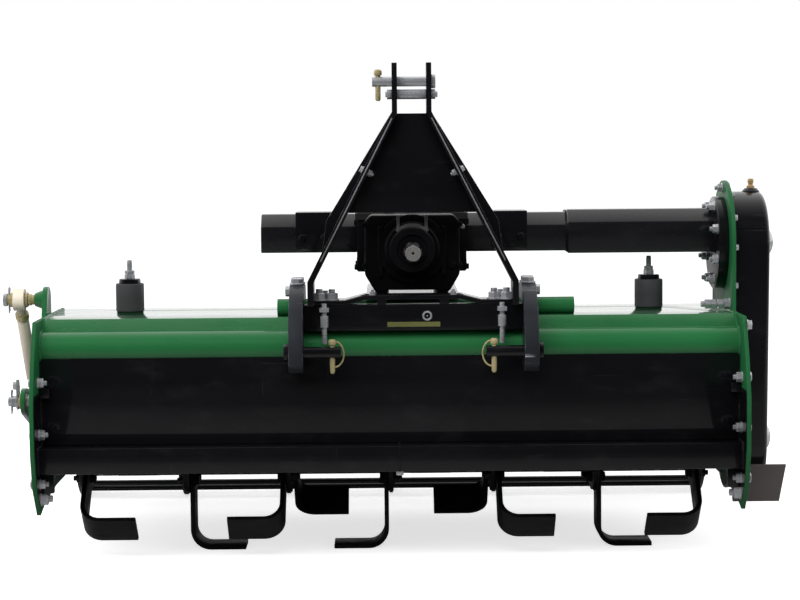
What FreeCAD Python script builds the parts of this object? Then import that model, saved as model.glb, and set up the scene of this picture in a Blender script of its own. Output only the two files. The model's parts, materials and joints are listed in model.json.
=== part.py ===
import FreeCAD, Part

# Stone burier carried on a compact tractor's three-point linkage. Millimetres, +Z up.
# While it is drawn, X runs across the machine from the middle of the hood, Y runs backwards from
# the rotor's axis and Z runs up from the floor. At the end every piece moves by one same step, so
# that the origin lies on the floor at the middle of the footprint.
import math
import os

V = FreeCAD.Vector
ACROSS = V(1, 0, 0)
BACK = V(0, 1, 0)
UP = V(0, 0, 1)

# ---- rotor ----
ROTOR_REACH = 218.0        # axis to the flat outer face of a blade
ROTOR_TUBE_R = 45.0
ROTOR_TUBE_WALL = 8.0
ROTOR_END_GAP = 20.0       # rotor tube to side plate
STATIONS = 7
END_DISC_INSET = 54.0      # side plate to the middle of each end disc
DISC_R = 105.0
DISC_T = 10.0
JOURNAL_R = 20.0
JOURNAL_SEAT = 40.0        # plug inside each end of the rotor tube
BEARING_PLAY = 5.0         # side plate's hole round the journal, radial
BLADE_T = 9.0
BLADE_CHORD = 68.0
BLADE_REACH = 112.0
BLADE_BEND_R = 32.0
BLADE_ROOT_R = 58.0

# ---- hood ----
WORK_WIDTH = 1350.0
PLATE_T = 8.0
SKIN_T = 5.0
TUBE_BEHIND = 20.0         # front tube's axis, behind the front plate's back
TUBE_DROP = 53.0           # front tube's axis, below the hood's top
TUBE_R = 31.0
TUBE_WALL = 4.0
HOOD_ROOM = 52.0           # blade circle to the hood's top
HOOD_FRONT_BEHIND = 25.0   # start of its flat top, behind the front tube's axis
HOOD_FLAT = 250.0
HOOD_REAR_ROOM = 37.0      # blade circle to the hood's rear edge
HOOD_REAR_DROP = 103.0
BEAM_SIZE = 50.0
BEAM_WALL = 4.0
BEAM_ROOM = 17.0           # blade circle to the front plate's back
BEAM_TOP_Z = 248.0
FRONT_PLATE_T = 5.0

# ---- side plates: outline points (y, z), from below the top front corner round ----
PLATE_CORNER = (-47.0, 54.0)       # top front corner, from the front tube's axis
PLATE_HEEL = (47.0, 7.0)           # top rear corner, from the hood's rear edge
PLATE_FRONT = [(-300, 410), (-322, 335), (-322, 240), (-304, 172), (-258, 115)]
PLATE_REAR = [(-200, 130), (-60, 142), (90, 142), (270, 215), (302, 300)]

# ---- drive ----
DRIVE_Y = -17.0
TOWER_R = 125.0
CASE_R = 104.0
CASE_DEPTH = 72.0
CASE_WALL = 6.0
CASE_BOSS_L = 25.0
CASE_BOSS_WALL = 12.0
CAP_R = 32.0
CAP_H = 12.0
END_FLANGE_R = 93.0
END_FLANGE_T = 20.0
GUARD_T = 8.0
GUARD_GAP = 12.0           # ahead of the chain case
GUARD_LOW_Z = 104.0
GUARD_H = 74.0
GUARD_LOW_W = 92.0
GUARD_TOP_W = 106.0
LEFT_BEARING_R = 60.0
LEFT_BEARING_T = 32.0
LEFT_CAP_T = 6.0
JOURNAL_END_GAP = 1.0
HEAD_X = 45.0              # headstock and gearbox, from the middle of the hood
GEAR_W = 186.0
GEAR_FRONT_Y = -165.0
GEAR_BACK_Y = 65.0
GEAR_H = 150.0
GEAR_AXIS_H = 83.8         # cross shaft's axis above the gearbox's foot
GEAR_FLANGE_T = 16.0
GEAR_FLANGE_HALF = 78.0
GEAR_FOOT_INSET = 20.0
GEAR_FOOT_H = 34.0
NECK_R = 45.0
NECK_L = 50.0
PTO_R = 17.45
PTO_FREE = 115.0
PTO_SEAT = 60.0
PTO_SEAT_R = 16.0
PTO_FACE_GAP = 0.5
PTO_END_GAP = 2.0
SHAFT_FIT = 0.05           # running fit, radial
CROSS_BEAM_H = 77.0
CROSS_BEAM_D = 78.0
CROSS_BEAM_WALL = 6.0
CROSS_BEAM_CHAMFER = 26.0
CROSS_BEAM_RISE = 65.0     # top face above the cross shaft's axis
BIG_BEAM_GROW = 5.0        # the outer beam is this much larger on each face
LEFT_BEAM_END = -302.0     # ends of the beams, from HEAD_X
COLLAR_T = 4.0
COLLAR_W = 72.0
COLLAR_SHORT = 8.0         # its skirt ends this far above the beam's foot
COLLAR_X = 196.0           # middle of each collar, from HEAD_X
BEAM_STEP_X = 313.0        # where the small beam meets the large one, from HEAD_X

# ---- headstock ----
CLAMP_T = 27.0
STRAP_CLAMP_GAP = 9.0      # strap to the clamp's inner face
CLAMP_JAW = [(46, -37), (-16, -37), (-33, -21), (-33, 19)]         # (y, z) from the lower pin
CLAMP_BROW = [(-44.5, -12.2), (-6.5, 19.8)]            # from the cross member's top front edge
CLAMP_BACK = [(-72, 47.5), (-20, 50.5), (16, 41.5), (30, 17.5), (30, -34.5)]       # from the pipe
CLAMP_THROAT = (15.0, 5.0)                             # from the front tube's axis
CLAMP_FIT = 0.2
PIPE_R = 16.5
PIPE_WALL = 3.0
PIPE_BEHIND = 65.0         # pipe's axis, behind the front tube's
PIPE_PAST_LEFT = 28.0      # past the clamps' outer faces
PIPE_PAST_RIGHT = 80.0
LOWER_PIN_AHEAD = 75.0     # lower pins, ahead of and below the front tube's axis
LOWER_PIN_DROP = 6.0
LOWER_PIN_R = 11.0
LOWER_PIN_FREE = 72.0
LOWER_PIN_SHOULDER_R = 13.0
LOWER_PIN_HEAD_R = 16.9
LOWER_PIN_HEAD_L = 10.0
CROSS_SIZE = 50.0
CROSS_WALL = 5.0
CROSS_SET_BACK = 9.5       # its back face, behind the front tube's axis
MOUNT_T = 8.0
MOUNT_JOG = 18.0
MOUNT_DEPTH = 80.0
MOUNT_SHELF_HALF = 90.0
MOUNT_SLOPE = 38.0
MOUNT_MITRE = 3.0
MOUNT_BLOCK_X = 60.0
MOUNT_BLOCK_W = 18.0
MOUNT_BLOCK_D = 38.0
STRAP_T = 10.0
STRAP_FOOT_T = 11.5        # the strap is thicker below its knee
STRAP_FIT = 0.5
STRAP_AHEAD = 29.5         # its front edge, ahead of the cross member
STRAP_DEPTH = 75.0
STRAP_HALF_W = 201.0       # outer half width at the foot
STRAP_KNEE_RISE = 46.8     # above the cross member
STRAP_MITRE = 3.0
EAR_TOP_Z = 976.0
EAR_H = 92.0
EAR_GAP = 55.0
SHEET_T = 5.0
SHEET_ROOM = 74.0          # its lower edge, above the cross shaft's axis
TOP_PIN_BEHIND = 27.0      # behind the strap's front edge
TOP_PIN_DROP = 35.0        # below the ear's top
TOP_PIN_R = 9.5
TOP_PIN_HEAD_R = 13.3
TOP_PIN_HEAD_L = 8.0
TOP_PIN_TAIL = 37.0
SPACER_DROP = 24.0         # below the top pin
SPACER_R = 9.5
SPACER_BOLT_R = 5.5
SPACER_BOLT_TAIL = 12.0
SPACER_HEX_R = 9.4
SPACER_HEX_T = 8.0
SPACER_NUT_T = 9.0
LOCK_BOLT_X = 170.0        # from HEAD_X
LOCK_BOLT_R = 5.0
LOCK_BOLT_L = 78.0
LOCK_BOLT_RISE = 4.0
LOCK_RING_R = 8.0
LOCK_RING_L = 22.0
LOCK_RING_DROP = 46.0
LOCK_LUG_HALF = 9.0
LOCK_LUG_T = 8.0

# ---- rubber buffers on the hood ----
BUFFER_INSET = 149.0       # from the side plates
BUFFER_Y = -15.0
BUFFER_R = 28.5
BUFFER_H = 57.0
BUFFER_BOLT_R = 6.0
BUFFER_BOLT_RISE = 47.0
BUFFER_BOLT_TAIL = 14.0
BUFFER_CAP_R = 22.2
BUFFER_CAP_T = 10.0
BUFFER_NUT_R = 11.4
BUFFER_NUT_T = 11.0

# ---- comb behind the rotor ----
COMB_ROOM = 28.0           # blade circle to the tines' axis
COMB_ROD_R = 6.0
COMB_PITCH = 50.0
COMB_TOP = 25.0            # degrees above the rotor's axis
COMB_LOW = -25.0
CARRIER_D = 39.0
CARRIER_T = 14.0

# ---- levelling board ----
BOARD_HINGE_BEHIND = 24.0  # hinge, behind and below the hood's rear edge
BOARD_HINGE_DROP = 21.0
BOARD_ROD_R = 8.0
KNUCKLE_R = 14.0
BOARD_T = 5.0
BOARD_L = 258.0
BOARD_LIP = 30.0
BOARD_LEAN = 14.0          # degrees behind the vertical
BOARD_SIDE_GAP = 8.0

# ---- roller ----
ROLLER_R = 140.0
ROLLER_Y = 640.0
ROLLER_SIDE_GAP = 37.0
ROLLER_BARS = 20
ROLLER_BAR_R = 6.0
ROLLER_RINGS = 7
RING_T = 8.0
RING_DEPTH = 30.0
ROLLER_SHAFT_R = 17.5
ARM_GAP = 7.0              # chain case to the arm
ARM_T = 10.0
ARM_HINGE = (215.0, 262.0)
ARM_PIN_R = 15.0
ARM_HUB_R = 28.0
ARM_HUB_GAP = 0.5
ARM_PIN_TAIL = 12.0
ARM_NOSE_R = 28.0
ARM_WAIST_R = 38.0
ARM_AXLE_R = 40.0
ARM_WEB_R = 34.0
ARM_TAIL_R = 36.0
AXLE_BOSS_L = 16.0
AXLE_END_GAP = 1.0
CROSS_TUBE = (690.0, 330.0)
CROSS_TUBE_SIZE = 50.0
CROSS_TUBE_WALL = 4.0

# ---- depth screw on the left ----
STRUT_TOP = (-60.0, 517.0)
STRUT_FOOT = (110.0, 290.0)
STRUT_INSET = 20.0         # its middle, from the arm's inner face
STRUT_EYE_R = 22.0
STRUT_EYE_T = 22.0
STRUT_PIN_R = 10.0
STRUT_SLEEVE_R = 12.0
STRUT_ROD_R = 7.5
STRUT_FOOT_PLAY = 3.5      # the open pivot's radial play
STRUT_NECK_GROW = 2.0
STRUT_SINK = 3.0           # how far the neck and the rod run into their eyes
STRUT_NECK_L = 30.0
SLEEVE_SHORT = 120.0       # sleeve's length less than the strut's
SLEEVE_PLUG = 20.0
ROD_BEHIND = 60.0          # rod's end, behind the sleeve's
LUG_T = 10.0
LUG_TOP_R = 26.0
LUG_LOW_R = 40.0
LUG_DROP = 80.0
LUG_SET_AHEAD = 10.0
LUG_CONE = (20.0, 13.0, 18.0)      # radii at its foot and tip, and length
STRUT_PIN_L = 62.0
FOOT_PIN_INSIDE = 15.0
FOOT_PIN_OUTSIDE = 28.0

HALF = WORK_WIDTH / 2
OUTER = HALF + PLATE_T
ROTOR_Z = ROTOR_REACH
STATION_PITCH = (WORK_WIDTH - 2 * END_DISC_INSET) / (STATIONS - 1)
HOOD_Z = 2 * ROTOR_REACH + HOOD_ROOM
HOOD_REAR = (ROTOR_REACH + HOOD_REAR_ROOM, HOOD_Z - HOOD_REAR_DROP)
BEAM_BACK_Y = -(ROTOR_REACH + BEAM_ROOM)
TUBE_Y = BEAM_BACK_Y + TUBE_BEHIND
TUBE_Z = HOOD_Z - TUBE_DROP
HOOD_FRONT_Y = TUBE_Y + HOOD_FRONT_BEHIND
HOOD_BEND_Y = HOOD_FRONT_Y + HOOD_FLAT
BUFFER_X = HALF - BUFFER_INSET
COMB_R = ROTOR_REACH + COMB_ROOM
BOARD_HINGE = (HOOD_REAR[0] + BOARD_HINGE_BEHIND, HOOD_REAR[1] - BOARD_HINGE_DROP)
CASE_OUT = OUTER + CASE_DEPTH
GEAR_X0 = HEAD_X - GEAR_W / 2
GEAR_X1 = HEAD_X + GEAR_W / 2
CROSS_Z0 = TUBE_Z + TUBE_R + CLAMP_FIT
CROSS_Z1 = CROSS_Z0 + CROSS_SIZE
CROSS_BACK_Y = TUBE_Y + CROSS_SET_BACK
CROSS_FRONT_Y = CROSS_BACK_Y - CROSS_SIZE
PIPE_Y = TUBE_Y + PIPE_BEHIND
PIPE_Z = HOOD_Z + PIPE_R
MOUNT_Z0 = CROSS_Z1 + MOUNT_JOG - MOUNT_T
GEAR_Z0 = MOUNT_Z0 + MOUNT_T
DRIVE_Z = GEAR_Z0 + GEAR_AXIS_H
BEAM_Y0 = DRIVE_Y - CROSS_BEAM_D / 2
BEAM_Y1 = DRIVE_Y + CROSS_BEAM_D / 2
BEAM_Z1 = DRIVE_Z + CROSS_BEAM_RISE
BEAM_Z0 = BEAM_Z1 - CROSS_BEAM_H
CLAMP_IN = STRAP_HALF_W + STRAP_CLAMP_GAP
LOWER_PIN_Y = TUBE_Y - LOWER_PIN_AHEAD
LOWER_PIN_Z = TUBE_Z - LOWER_PIN_DROP
STRAP_FRONT_Y = CROSS_FRONT_Y - STRAP_AHEAD
STRAP_KNEE_Z = CROSS_Z1 + STRAP_KNEE_RISE
SHOULDER_Z = EAR_TOP_Z - EAR_H
TOP_PIN_Y = STRAP_FRONT_Y + TOP_PIN_BEHIND
TOP_PIN_Z = EAR_TOP_Z - TOP_PIN_DROP
SPACER_Z = TOP_PIN_Z - SPACER_DROP
SHEET_LOW_Z = DRIVE_Z + SHEET_ROOM
EAR_IN = EAR_GAP / 2
EAR_OUT = EAR_IN + STRAP_T
ARM_X = CASE_OUT + ARM_GAP
ROLLER_HALF = ARM_X - ROLLER_SIDE_GAP
ROLLER_Z = ROLLER_R
STRUT_X = -(ARM_X - STRUT_INSET)


# ---- shapes ----
def box(x0, x1, y0, y1, z0, z1):
    return Part.makeBox(x1 - x0, y1 - y0, z1 - z0, V(x0, y0, z0))


def rod(start, direction, length, radius):
    return Part.makeCylinder(radius, length, V(*start), direction)


def pipe(start, direction, length, radius, bore):
    return rod(start, direction, length, radius).cut(rod(start, direction, length, bore))


def side_prism(points, x0, x1):
    """A plate across X whose outline is given as (y, z) points."""
    wire = Part.makePolygon([V(x0, y, z) for y, z in list(points) + [points[0]]])
    return Part.Face(wire).extrude(V(x1 - x0, 0, 0))


def front_prism(points, y0, y1):
    """A plate along Y whose outline is given as (x, z) points."""
    wire = Part.makePolygon([V(x, y0, z) for x, z in list(points) + [points[0]]])
    return Part.Face(wire).extrude(V(0, y1 - y0, 0))


def square_tube(x0, x1, y0, y1, z0, z1, wall):
    bore = box(x0, x1, y0 + wall, y1 - wall, z0 + wall, z1 - wall)
    return box(x0, x1, y0, y1, z0, z1).cut(bore)


def thickened(points, thickness):
    """Closed outline of a bent sheet: the points are its outer face, the sheet lies to their right."""
    inner = []
    for i, (y, z) in enumerate(points):
        spans = []
        if i > 0:
            spans.append((y - points[i - 1][0], z - points[i - 1][1]))
        if i < len(points) - 1:
            spans.append((points[i + 1][0] - y, points[i + 1][1] - z))
        normals = [(dz / math.hypot(dy, dz), -dy / math.hypot(dy, dz)) for dy, dz in spans]
        ny = sum(n[0] for n in normals) / len(normals)
        nz = sum(n[1] for n in normals) / len(normals)
        scale = thickness / (ny * ny + nz * nz)
        inner.append((y + ny * scale, z + nz * scale))
    return list(points) + inner[::-1]


def link(p, q, rp, rq, x0, x1):
    """Two round ends at (y, z) points, joined by tangents, as one plate."""
    reach = math.dist(p, q)
    along = math.atan2(q[1] - p[1], q[0] - p[0])
    turn = math.acos((rp - rq) / reach)
    web = []
    for centre, radius, sign in ((p, rp, 1), (q, rq, 1), (q, rq, -1), (p, rp, -1)):
        angle = along + sign * turn
        web.append((centre[0] + radius * math.cos(angle), centre[1] + radius * math.sin(angle)))
    plate = side_prism(web, x0, x1)
    for centre, radius in ((p, rp), (q, rq)):
        plate = plate.fuse(rod((x0, centre[0], centre[1]), ACROSS, x1 - x0, radius))
    return plate.removeSplitter()


def mirrored(shape):
    return shape.mirror(V(0, 0, 0), ACROSS)


def joined(shapes):
    first, *others = shapes
    return first.multiFuse(others).removeSplitter()


# ---- hood ----
def hood_outline():
    """Outer face of the hood's skin as (y, z) points, from the front tube back."""
    return [(TUBE_Y, TUBE_Z + TUBE_R / 2), (HOOD_FRONT_Y, HOOD_Z), (HOOD_BEND_Y, HOOD_Z), HOOD_REAR]


def tube_solid(radius):
    return rod((-HALF, TUBE_Y, TUBE_Z), ACROSS, WORK_WIDTH, radius)


def hood_top():
    skin = side_prism(thickened(hood_outline(), SKIN_T), -HALF, HALF).cut(tube_solid(TUBE_R))
    for side in (-1, 1):
        hole = rod((side * BUFFER_X, BUFFER_Y, HOOD_Z - 2 * SKIN_T), UP, 4 * SKIN_T, BUFFER_BOLT_R)
        skin = skin.cut(hole)
    return skin


def front_plate():
    beam_front = BEAM_BACK_Y - FRONT_PLATE_T
    plate = box(-HALF, HALF, beam_front, BEAM_BACK_Y, BEAM_TOP_Z, TUBE_Z)
    return min(plate.cut(tube_solid(TUBE_R)).Solids, key=lambda solid: solid.CenterOfMass.z)


def front_beam():
    return square_tube(-HALF, HALF, BEAM_BACK_Y - BEAM_SIZE, BEAM_BACK_Y, BEAM_TOP_Z - BEAM_SIZE,
                       BEAM_TOP_Z, BEAM_WALL)


def side_plate():
    """Left plate; its outline follows the hood's skin at the top."""
    corner = (TUBE_Y + PLATE_CORNER[0], TUBE_Z + PLATE_CORNER[1])
    heel = (HOOD_REAR[0] + PLATE_HEEL[0], HOOD_REAR[1] + PLATE_HEEL[1])
    outline = [corner, *PLATE_FRONT, *PLATE_REAR, heel, HOOD_REAR, (HOOD_BEND_Y, HOOD_Z)]
    plate = side_prism(outline, -OUTER, -HALF)
    plate = plate.cut(rod((-OUTER, 0, ROTOR_Z), ACROSS, PLATE_T, JOURNAL_R + BEARING_PLAY))
    return plate.cut(rod((-OUTER, *BOARD_HINGE), ACROSS, PLATE_T, BOARD_ROD_R))


def right_side_plate():
    """As the left one, with a tower up to the cross shaft."""
    tower = link((DRIVE_Y, DRIVE_Z), (DRIVE_Y, HOOD_Z - TOWER_R), TOWER_R, TOWER_R, HALF, OUTER)
    return joined([mirrored(side_plate()), tower]).cut(
        rod((HALF, 0, ROTOR_Z), ACROSS, PLATE_T, JOURNAL_R + BEARING_PLAY))


def sieve_comb():
    """Round tines bent about the rotor's axis, on a bar between the side plates."""
    top = math.radians(COMB_TOP)
    bar_y = COMB_R * math.cos(top)
    bar_z = ROTOR_Z + COMB_R * math.sin(top)
    pieces = [box(-HALF, HALF, bar_y - CARRIER_D / 3, bar_y + CARRIER_D * 2 / 3,
                  bar_z - COMB_ROD_R, bar_z - COMB_ROD_R + CARRIER_T)]
    count = int(WORK_WIDTH / COMB_PITCH) - 1
    for i in range(count):
        x = (i - (count - 1) / 2) * COMB_PITCH
        ring = Part.Face(Part.Wire(Part.makeCircle(COMB_ROD_R, V(x, COMB_R, ROTOR_Z), UP)))
        ring.rotate(V(x, 0, ROTOR_Z), ACROSS, COMB_LOW)
        pieces.append(ring.revolve(V(x, 0, ROTOR_Z), ACROSS, COMB_TOP - COMB_LOW))
    return joined(pieces)


def buffers():
    rubber, bolts = [], []
    for side in (-1, 1):
        foot = (side * BUFFER_X, BUFFER_Y, HOOD_Z)
        rubber.append(pipe(foot, UP, BUFFER_H, BUFFER_R, BUFFER_BOLT_R))
        low = HOOD_Z - SKIN_T - BUFFER_BOLT_TAIL
        top = HOOD_Z + BUFFER_H
        shank = rod((*foot[:2], low), UP, top + BUFFER_BOLT_RISE - low, BUFFER_BOLT_R)
        cap = rod((*foot[:2], top), UP, BUFFER_CAP_T, BUFFER_CAP_R)
        nut = rod((*foot[:2], HOOD_Z - SKIN_T - BUFFER_NUT_T), UP, BUFFER_NUT_T, BUFFER_NUT_R)
        bolts.append(joined([shank, cap, nut]))
    return {"rubber_buffers": Part.makeCompound(rubber), "buffer_bolts": Part.makeCompound(bolts)}


def hood_pieces():
    pieces = {
        "hood_top": hood_top(),
        "front_tube": tube_solid(TUBE_R).cut(tube_solid(TUBE_R - TUBE_WALL)),
        "front_plate": front_plate(),
        "front_beam": front_beam(),
        "left_side_plate": side_plate(),
        "right_side_plate": right_side_plate(),
        "sieve_comb": sieve_comb(),
        "board_hinge_rod": rod((-OUTER, *BOARD_HINGE), ACROSS, 2 * OUTER, BOARD_ROD_R),
    }
    pieces.update(buffers())
    return pieces


# ---- drive ----
def cross_beam(x0, x1, grow, closed_left):
    """Box beam round the cross shaft, with its upper front edge cut off."""
    y0, y1 = BEAM_Y0 - grow, BEAM_Y1 + grow
    z0, z1 = BEAM_Z0 - grow, BEAM_Z1 + grow

    def section(inset, x_from):
        chamfer = CROSS_BEAM_CHAMFER - inset * (2 - math.sqrt(2))
        outline = [(y0 + inset, z0 + inset), (y1 - inset, z0 + inset), (y1 - inset, z1 - inset),
                   (y0 + inset + chamfer, z1 - inset), (y0 + inset, z1 - inset - chamfer)]
        return side_prism(outline, x_from, x1)

    bore_from = x0 + CROSS_BEAM_WALL if closed_left else x0
    return section(0, x0).cut(section(CROSS_BEAM_WALL, bore_from))


def collar(x_mid):
    """Plate shell folded over a cross beam's top, front and back."""
    x0, x1 = x_mid - COLLAR_W / 2, x_mid + COLLAR_W / 2
    shell = box(x0, x1, BEAM_Y0 - COLLAR_T, BEAM_Y1 + COLLAR_T, BEAM_Z0 + COLLAR_SHORT, BEAM_Z1 + COLLAR_T)
    return shell.cut(box(x0, x1, BEAM_Y0, BEAM_Y1, BEAM_Z0, BEAM_Z1))


def gearbox():
    z0, z1 = GEAR_Z0, GEAR_Z0 + GEAR_H
    knee = z0 + GEAR_FOOT_H
    body = front_prism([(GEAR_X0 + GEAR_FOOT_INSET, z0), (GEAR_X1 - GEAR_FOOT_INSET, z0), (GEAR_X1, knee),
                        (GEAR_X1, z1), (GEAR_X0, z1), (GEAR_X0, knee)], GEAR_FRONT_Y, GEAR_BACK_Y)
    flanges = box(GEAR_X0 - GEAR_FLANGE_T, GEAR_X1 + GEAR_FLANGE_T, DRIVE_Y - GEAR_FLANGE_HALF,
                  DRIVE_Y + GEAR_FLANGE_HALF, knee, z1)
    face = (HEAD_X, GEAR_FRONT_Y - NECK_L, DRIVE_Z)
    neck = rod(face, BACK, NECK_L, NECK_R)
    bore = rod(face, BACK, PTO_SEAT + PTO_END_GAP, PTO_SEAT_R + SHAFT_FIT)
    return joined([body, flanges, neck]).cut(bore)


def chain_case():
    """Tray that closes on the side plate, with a boss inside for the rotor's journal."""
    shell = link((DRIVE_Y, DRIVE_Z), (0, ROTOR_Z), CASE_R, CASE_R, OUTER, CASE_OUT)
    inner_r = CASE_R - CASE_WALL
    inside = link((DRIVE_Y, DRIVE_Z), (0, ROTOR_Z), inner_r, inner_r, OUTER, CASE_OUT - CASE_WALL)
    bore = JOURNAL_R + SHAFT_FIT
    boss = pipe((CASE_OUT - CASE_WALL - CASE_BOSS_L, 0, ROTOR_Z), ACROSS, CASE_BOSS_L,
                JOURNAL_R + CASE_BOSS_WALL, bore)
    return shell.cut(inside).fuse(boss).removeSplitter()


def dome(y, z):
    ball_r = (CAP_R ** 2 + CAP_H ** 2) / (2 * CAP_H)
    ball = Part.makeSphere(ball_r, V(CASE_OUT + CAP_H - ball_r, y, z))
    return ball.common(box(CASE_OUT, CASE_OUT + CAP_H, y - CAP_R, y + CAP_R, z - CAP_R, z + CAP_R))


def guard_plate():
    y0 = -CASE_R - GUARD_GAP
    low, top = GUARD_LOW_Z, GUARD_LOW_Z + GUARD_H
    outline = [(OUTER, low), (OUTER + GUARD_LOW_W, low), (OUTER + GUARD_TOP_W, top), (OUTER, top)]
    return front_prism(outline, y0, y0 + GUARD_T)


def left_bearing():
    """Housing on the left plate; its outer end is closed."""
    ring = pipe((-OUTER - LEFT_BEARING_T, 0, ROTOR_Z), ACROSS, LEFT_BEARING_T, LEFT_BEARING_R,
                JOURNAL_R + SHAFT_FIT)
    cap = rod((-OUTER - LEFT_BEARING_T - LEFT_CAP_T, 0, ROTOR_Z), ACROSS, LEFT_CAP_T, LEFT_BEARING_R)
    return joined([ring, cap])


def drive_pieces():
    beam_end = HALF - END_FLANGE_T
    left_end = GEAR_X0 - GEAR_FLANGE_T
    right_start = GEAR_X1 + GEAR_FLANGE_T
    step = HEAD_X + BEAM_STEP_X
    return {
        "gearbox": gearbox(),
        "cross_beam_left": cross_beam(HEAD_X + LEFT_BEAM_END, left_end, 0, True),
        "cross_beam_middle": cross_beam(right_start, step, 0, False),
        "cross_beam_right": cross_beam(step, beam_end, BIG_BEAM_GROW, False),
        "beam_collar_left": collar(HEAD_X - COLLAR_X),
        "beam_collar_right": collar(HEAD_X + COLLAR_X),
        "end_flange": rod((beam_end, DRIVE_Y, DRIVE_Z), ACROSS, END_FLANGE_T, END_FLANGE_R),
        "chain_case": chain_case(),
        "chain_case_caps": Part.makeCompound([dome(DRIVE_Y, DRIVE_Z), dome(0, ROTOR_Z)]),
        "chain_case_guard": guard_plate(),
        "left_bearing": left_bearing(),
    }


# ---- headstock ----
def hood_envelope():
    """Everything that the hood fills, to the outside of its skin, with a seat's clearance."""
    skin = [(y, z + CLAMP_FIT) for y, z in hood_outline()]
    front = BEAM_BACK_Y - FRONT_PLATE_T - CLAMP_FIT
    outline = [(front, BEAM_TOP_Z), (front, TUBE_Z), *skin, (HOOD_REAR[0], BEAM_TOP_Z)]
    return side_prism(outline, -HALF, HALF).fuse(tube_solid(TUBE_R + CLAMP_FIT))


def hitch_clamp(inner_x, side):
    """Thick plate that hooks over the front tube and the rear pipe and carries a lower pin."""
    x0, x1 = sorted((inner_x, inner_x + side * CLAMP_T))
    outline = []
    for (y, z), offsets in (((LOWER_PIN_Y, LOWER_PIN_Z), CLAMP_JAW), ((CROSS_FRONT_Y, CROSS_Z1), CLAMP_BROW),
                            ((PIPE_Y, PIPE_Z), CLAMP_BACK), ((TUBE_Y, TUBE_Z), [CLAMP_THROAT])):
        outline += [(y + dy, z + dz) for dy, dz in offsets]
    plate = side_prism(outline, x0, x1).cut(hood_envelope())
    plate = plate.cut(rod((x0, PIPE_Y, PIPE_Z), ACROSS, CLAMP_T, PIPE_R + CLAMP_FIT))
    plate = plate.cut(rod((x0, LOWER_PIN_Y, LOWER_PIN_Z), ACROSS, CLAMP_T, LOWER_PIN_SHOULDER_R))
    return max(plate.Solids, key=lambda solid: solid.Volume)


def lower_pin(inner_x, side):
    """Stub towards the middle of the machine, with a thicker shoulder through its clamp."""
    inward = ACROSS * -side
    stub = rod((inner_x, LOWER_PIN_Y, LOWER_PIN_Z), inward, LOWER_PIN_FREE, LOWER_PIN_R)
    outer_x = inner_x + side * CLAMP_T
    shoulder = rod((outer_x, LOWER_PIN_Y, LOWER_PIN_Z), inward, CLAMP_T, LOWER_PIN_SHOULDER_R)
    head_x = outer_x + side * LOWER_PIN_HEAD_L
    head = rod((head_x, LOWER_PIN_Y, LOWER_PIN_Z), inward, LOWER_PIN_HEAD_L, LOWER_PIN_HEAD_R)
    return joined([stub, shoulder, head])


def strap(side):
    """Bent flat bar from the cross member's top up to one ear of the top link."""
    foot, mitre = STRAP_HALF_W, STRAP_MITRE
    outline = [(foot, CROSS_Z1), (foot, STRAP_KNEE_Z), (EAR_OUT, SHOULDER_Z), (EAR_OUT, EAR_TOP_Z),
               (EAR_IN, EAR_TOP_Z), (EAR_IN, SHOULDER_Z - mitre),
               (foot - STRAP_FOOT_T, STRAP_KNEE_Z - mitre), (foot - STRAP_FOOT_T, CROSS_Z1)]
    back = STRAP_FRONT_Y + STRAP_DEPTH
    bent = front_prism([(HEAD_X + side * x, z) for x, z in outline], STRAP_FRONT_Y, back)
    for z, radius in ((TOP_PIN_Z, TOP_PIN_R), (SPACER_Z, SPACER_BOLT_R)):
        bent = bent.cut(rod((HEAD_X - EAR_OUT, TOP_PIN_Y, z), ACROSS, 2 * EAR_OUT, radius))
    return bent


def headstock_sheet():
    """Plate between the two straps; its edges follow their inner faces."""
    top = SHOULDER_Z - STRAP_MITRE
    knee = STRAP_KNEE_Z - STRAP_MITRE
    slope = (STRAP_HALF_W - STRAP_FOOT_T - EAR_IN) / (top - knee)
    low = EAR_IN + (top - SHEET_LOW_Z) * slope
    y0 = STRAP_FRONT_Y + STRAP_DEPTH / 2
    outline = [(-low, SHEET_LOW_Z), (low, SHEET_LOW_Z), (EAR_IN, top), (-EAR_IN, top)]
    return front_prism([(HEAD_X + x, z) for x, z in outline], y0, y0 + SHEET_T)


def top_link_pin():
    left = HEAD_X - EAR_OUT - TOP_PIN_TAIL
    pin = rod((left, TOP_PIN_Y, TOP_PIN_Z), ACROSS, 2 * EAR_OUT + TOP_PIN_TAIL, TOP_PIN_R)
    head = rod((HEAD_X + EAR_OUT, TOP_PIN_Y, TOP_PIN_Z), ACROSS, TOP_PIN_HEAD_L, TOP_PIN_HEAD_R)
    return joined([pin, head])


def top_link_spacer():
    sleeve = rod((HEAD_X - EAR_IN, TOP_PIN_Y, SPACER_Z), ACROSS, EAR_GAP, SPACER_R)
    bolt_x = HEAD_X - EAR_OUT - SPACER_BOLT_TAIL
    bolt = rod((bolt_x, TOP_PIN_Y, SPACER_Z), ACROSS, 2 * (EAR_OUT + SPACER_BOLT_TAIL), SPACER_BOLT_R)
    head = rod((HEAD_X + EAR_OUT, TOP_PIN_Y, SPACER_Z), ACROSS, SPACER_HEX_T, SPACER_HEX_R)
    nut_x = HEAD_X - EAR_OUT - SPACER_NUT_T
    nut = rod((nut_x, TOP_PIN_Y, SPACER_Z), ACROSS, SPACER_NUT_T, SPACER_HEX_R)
    return joined([sleeve, bolt, head, nut])


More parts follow.
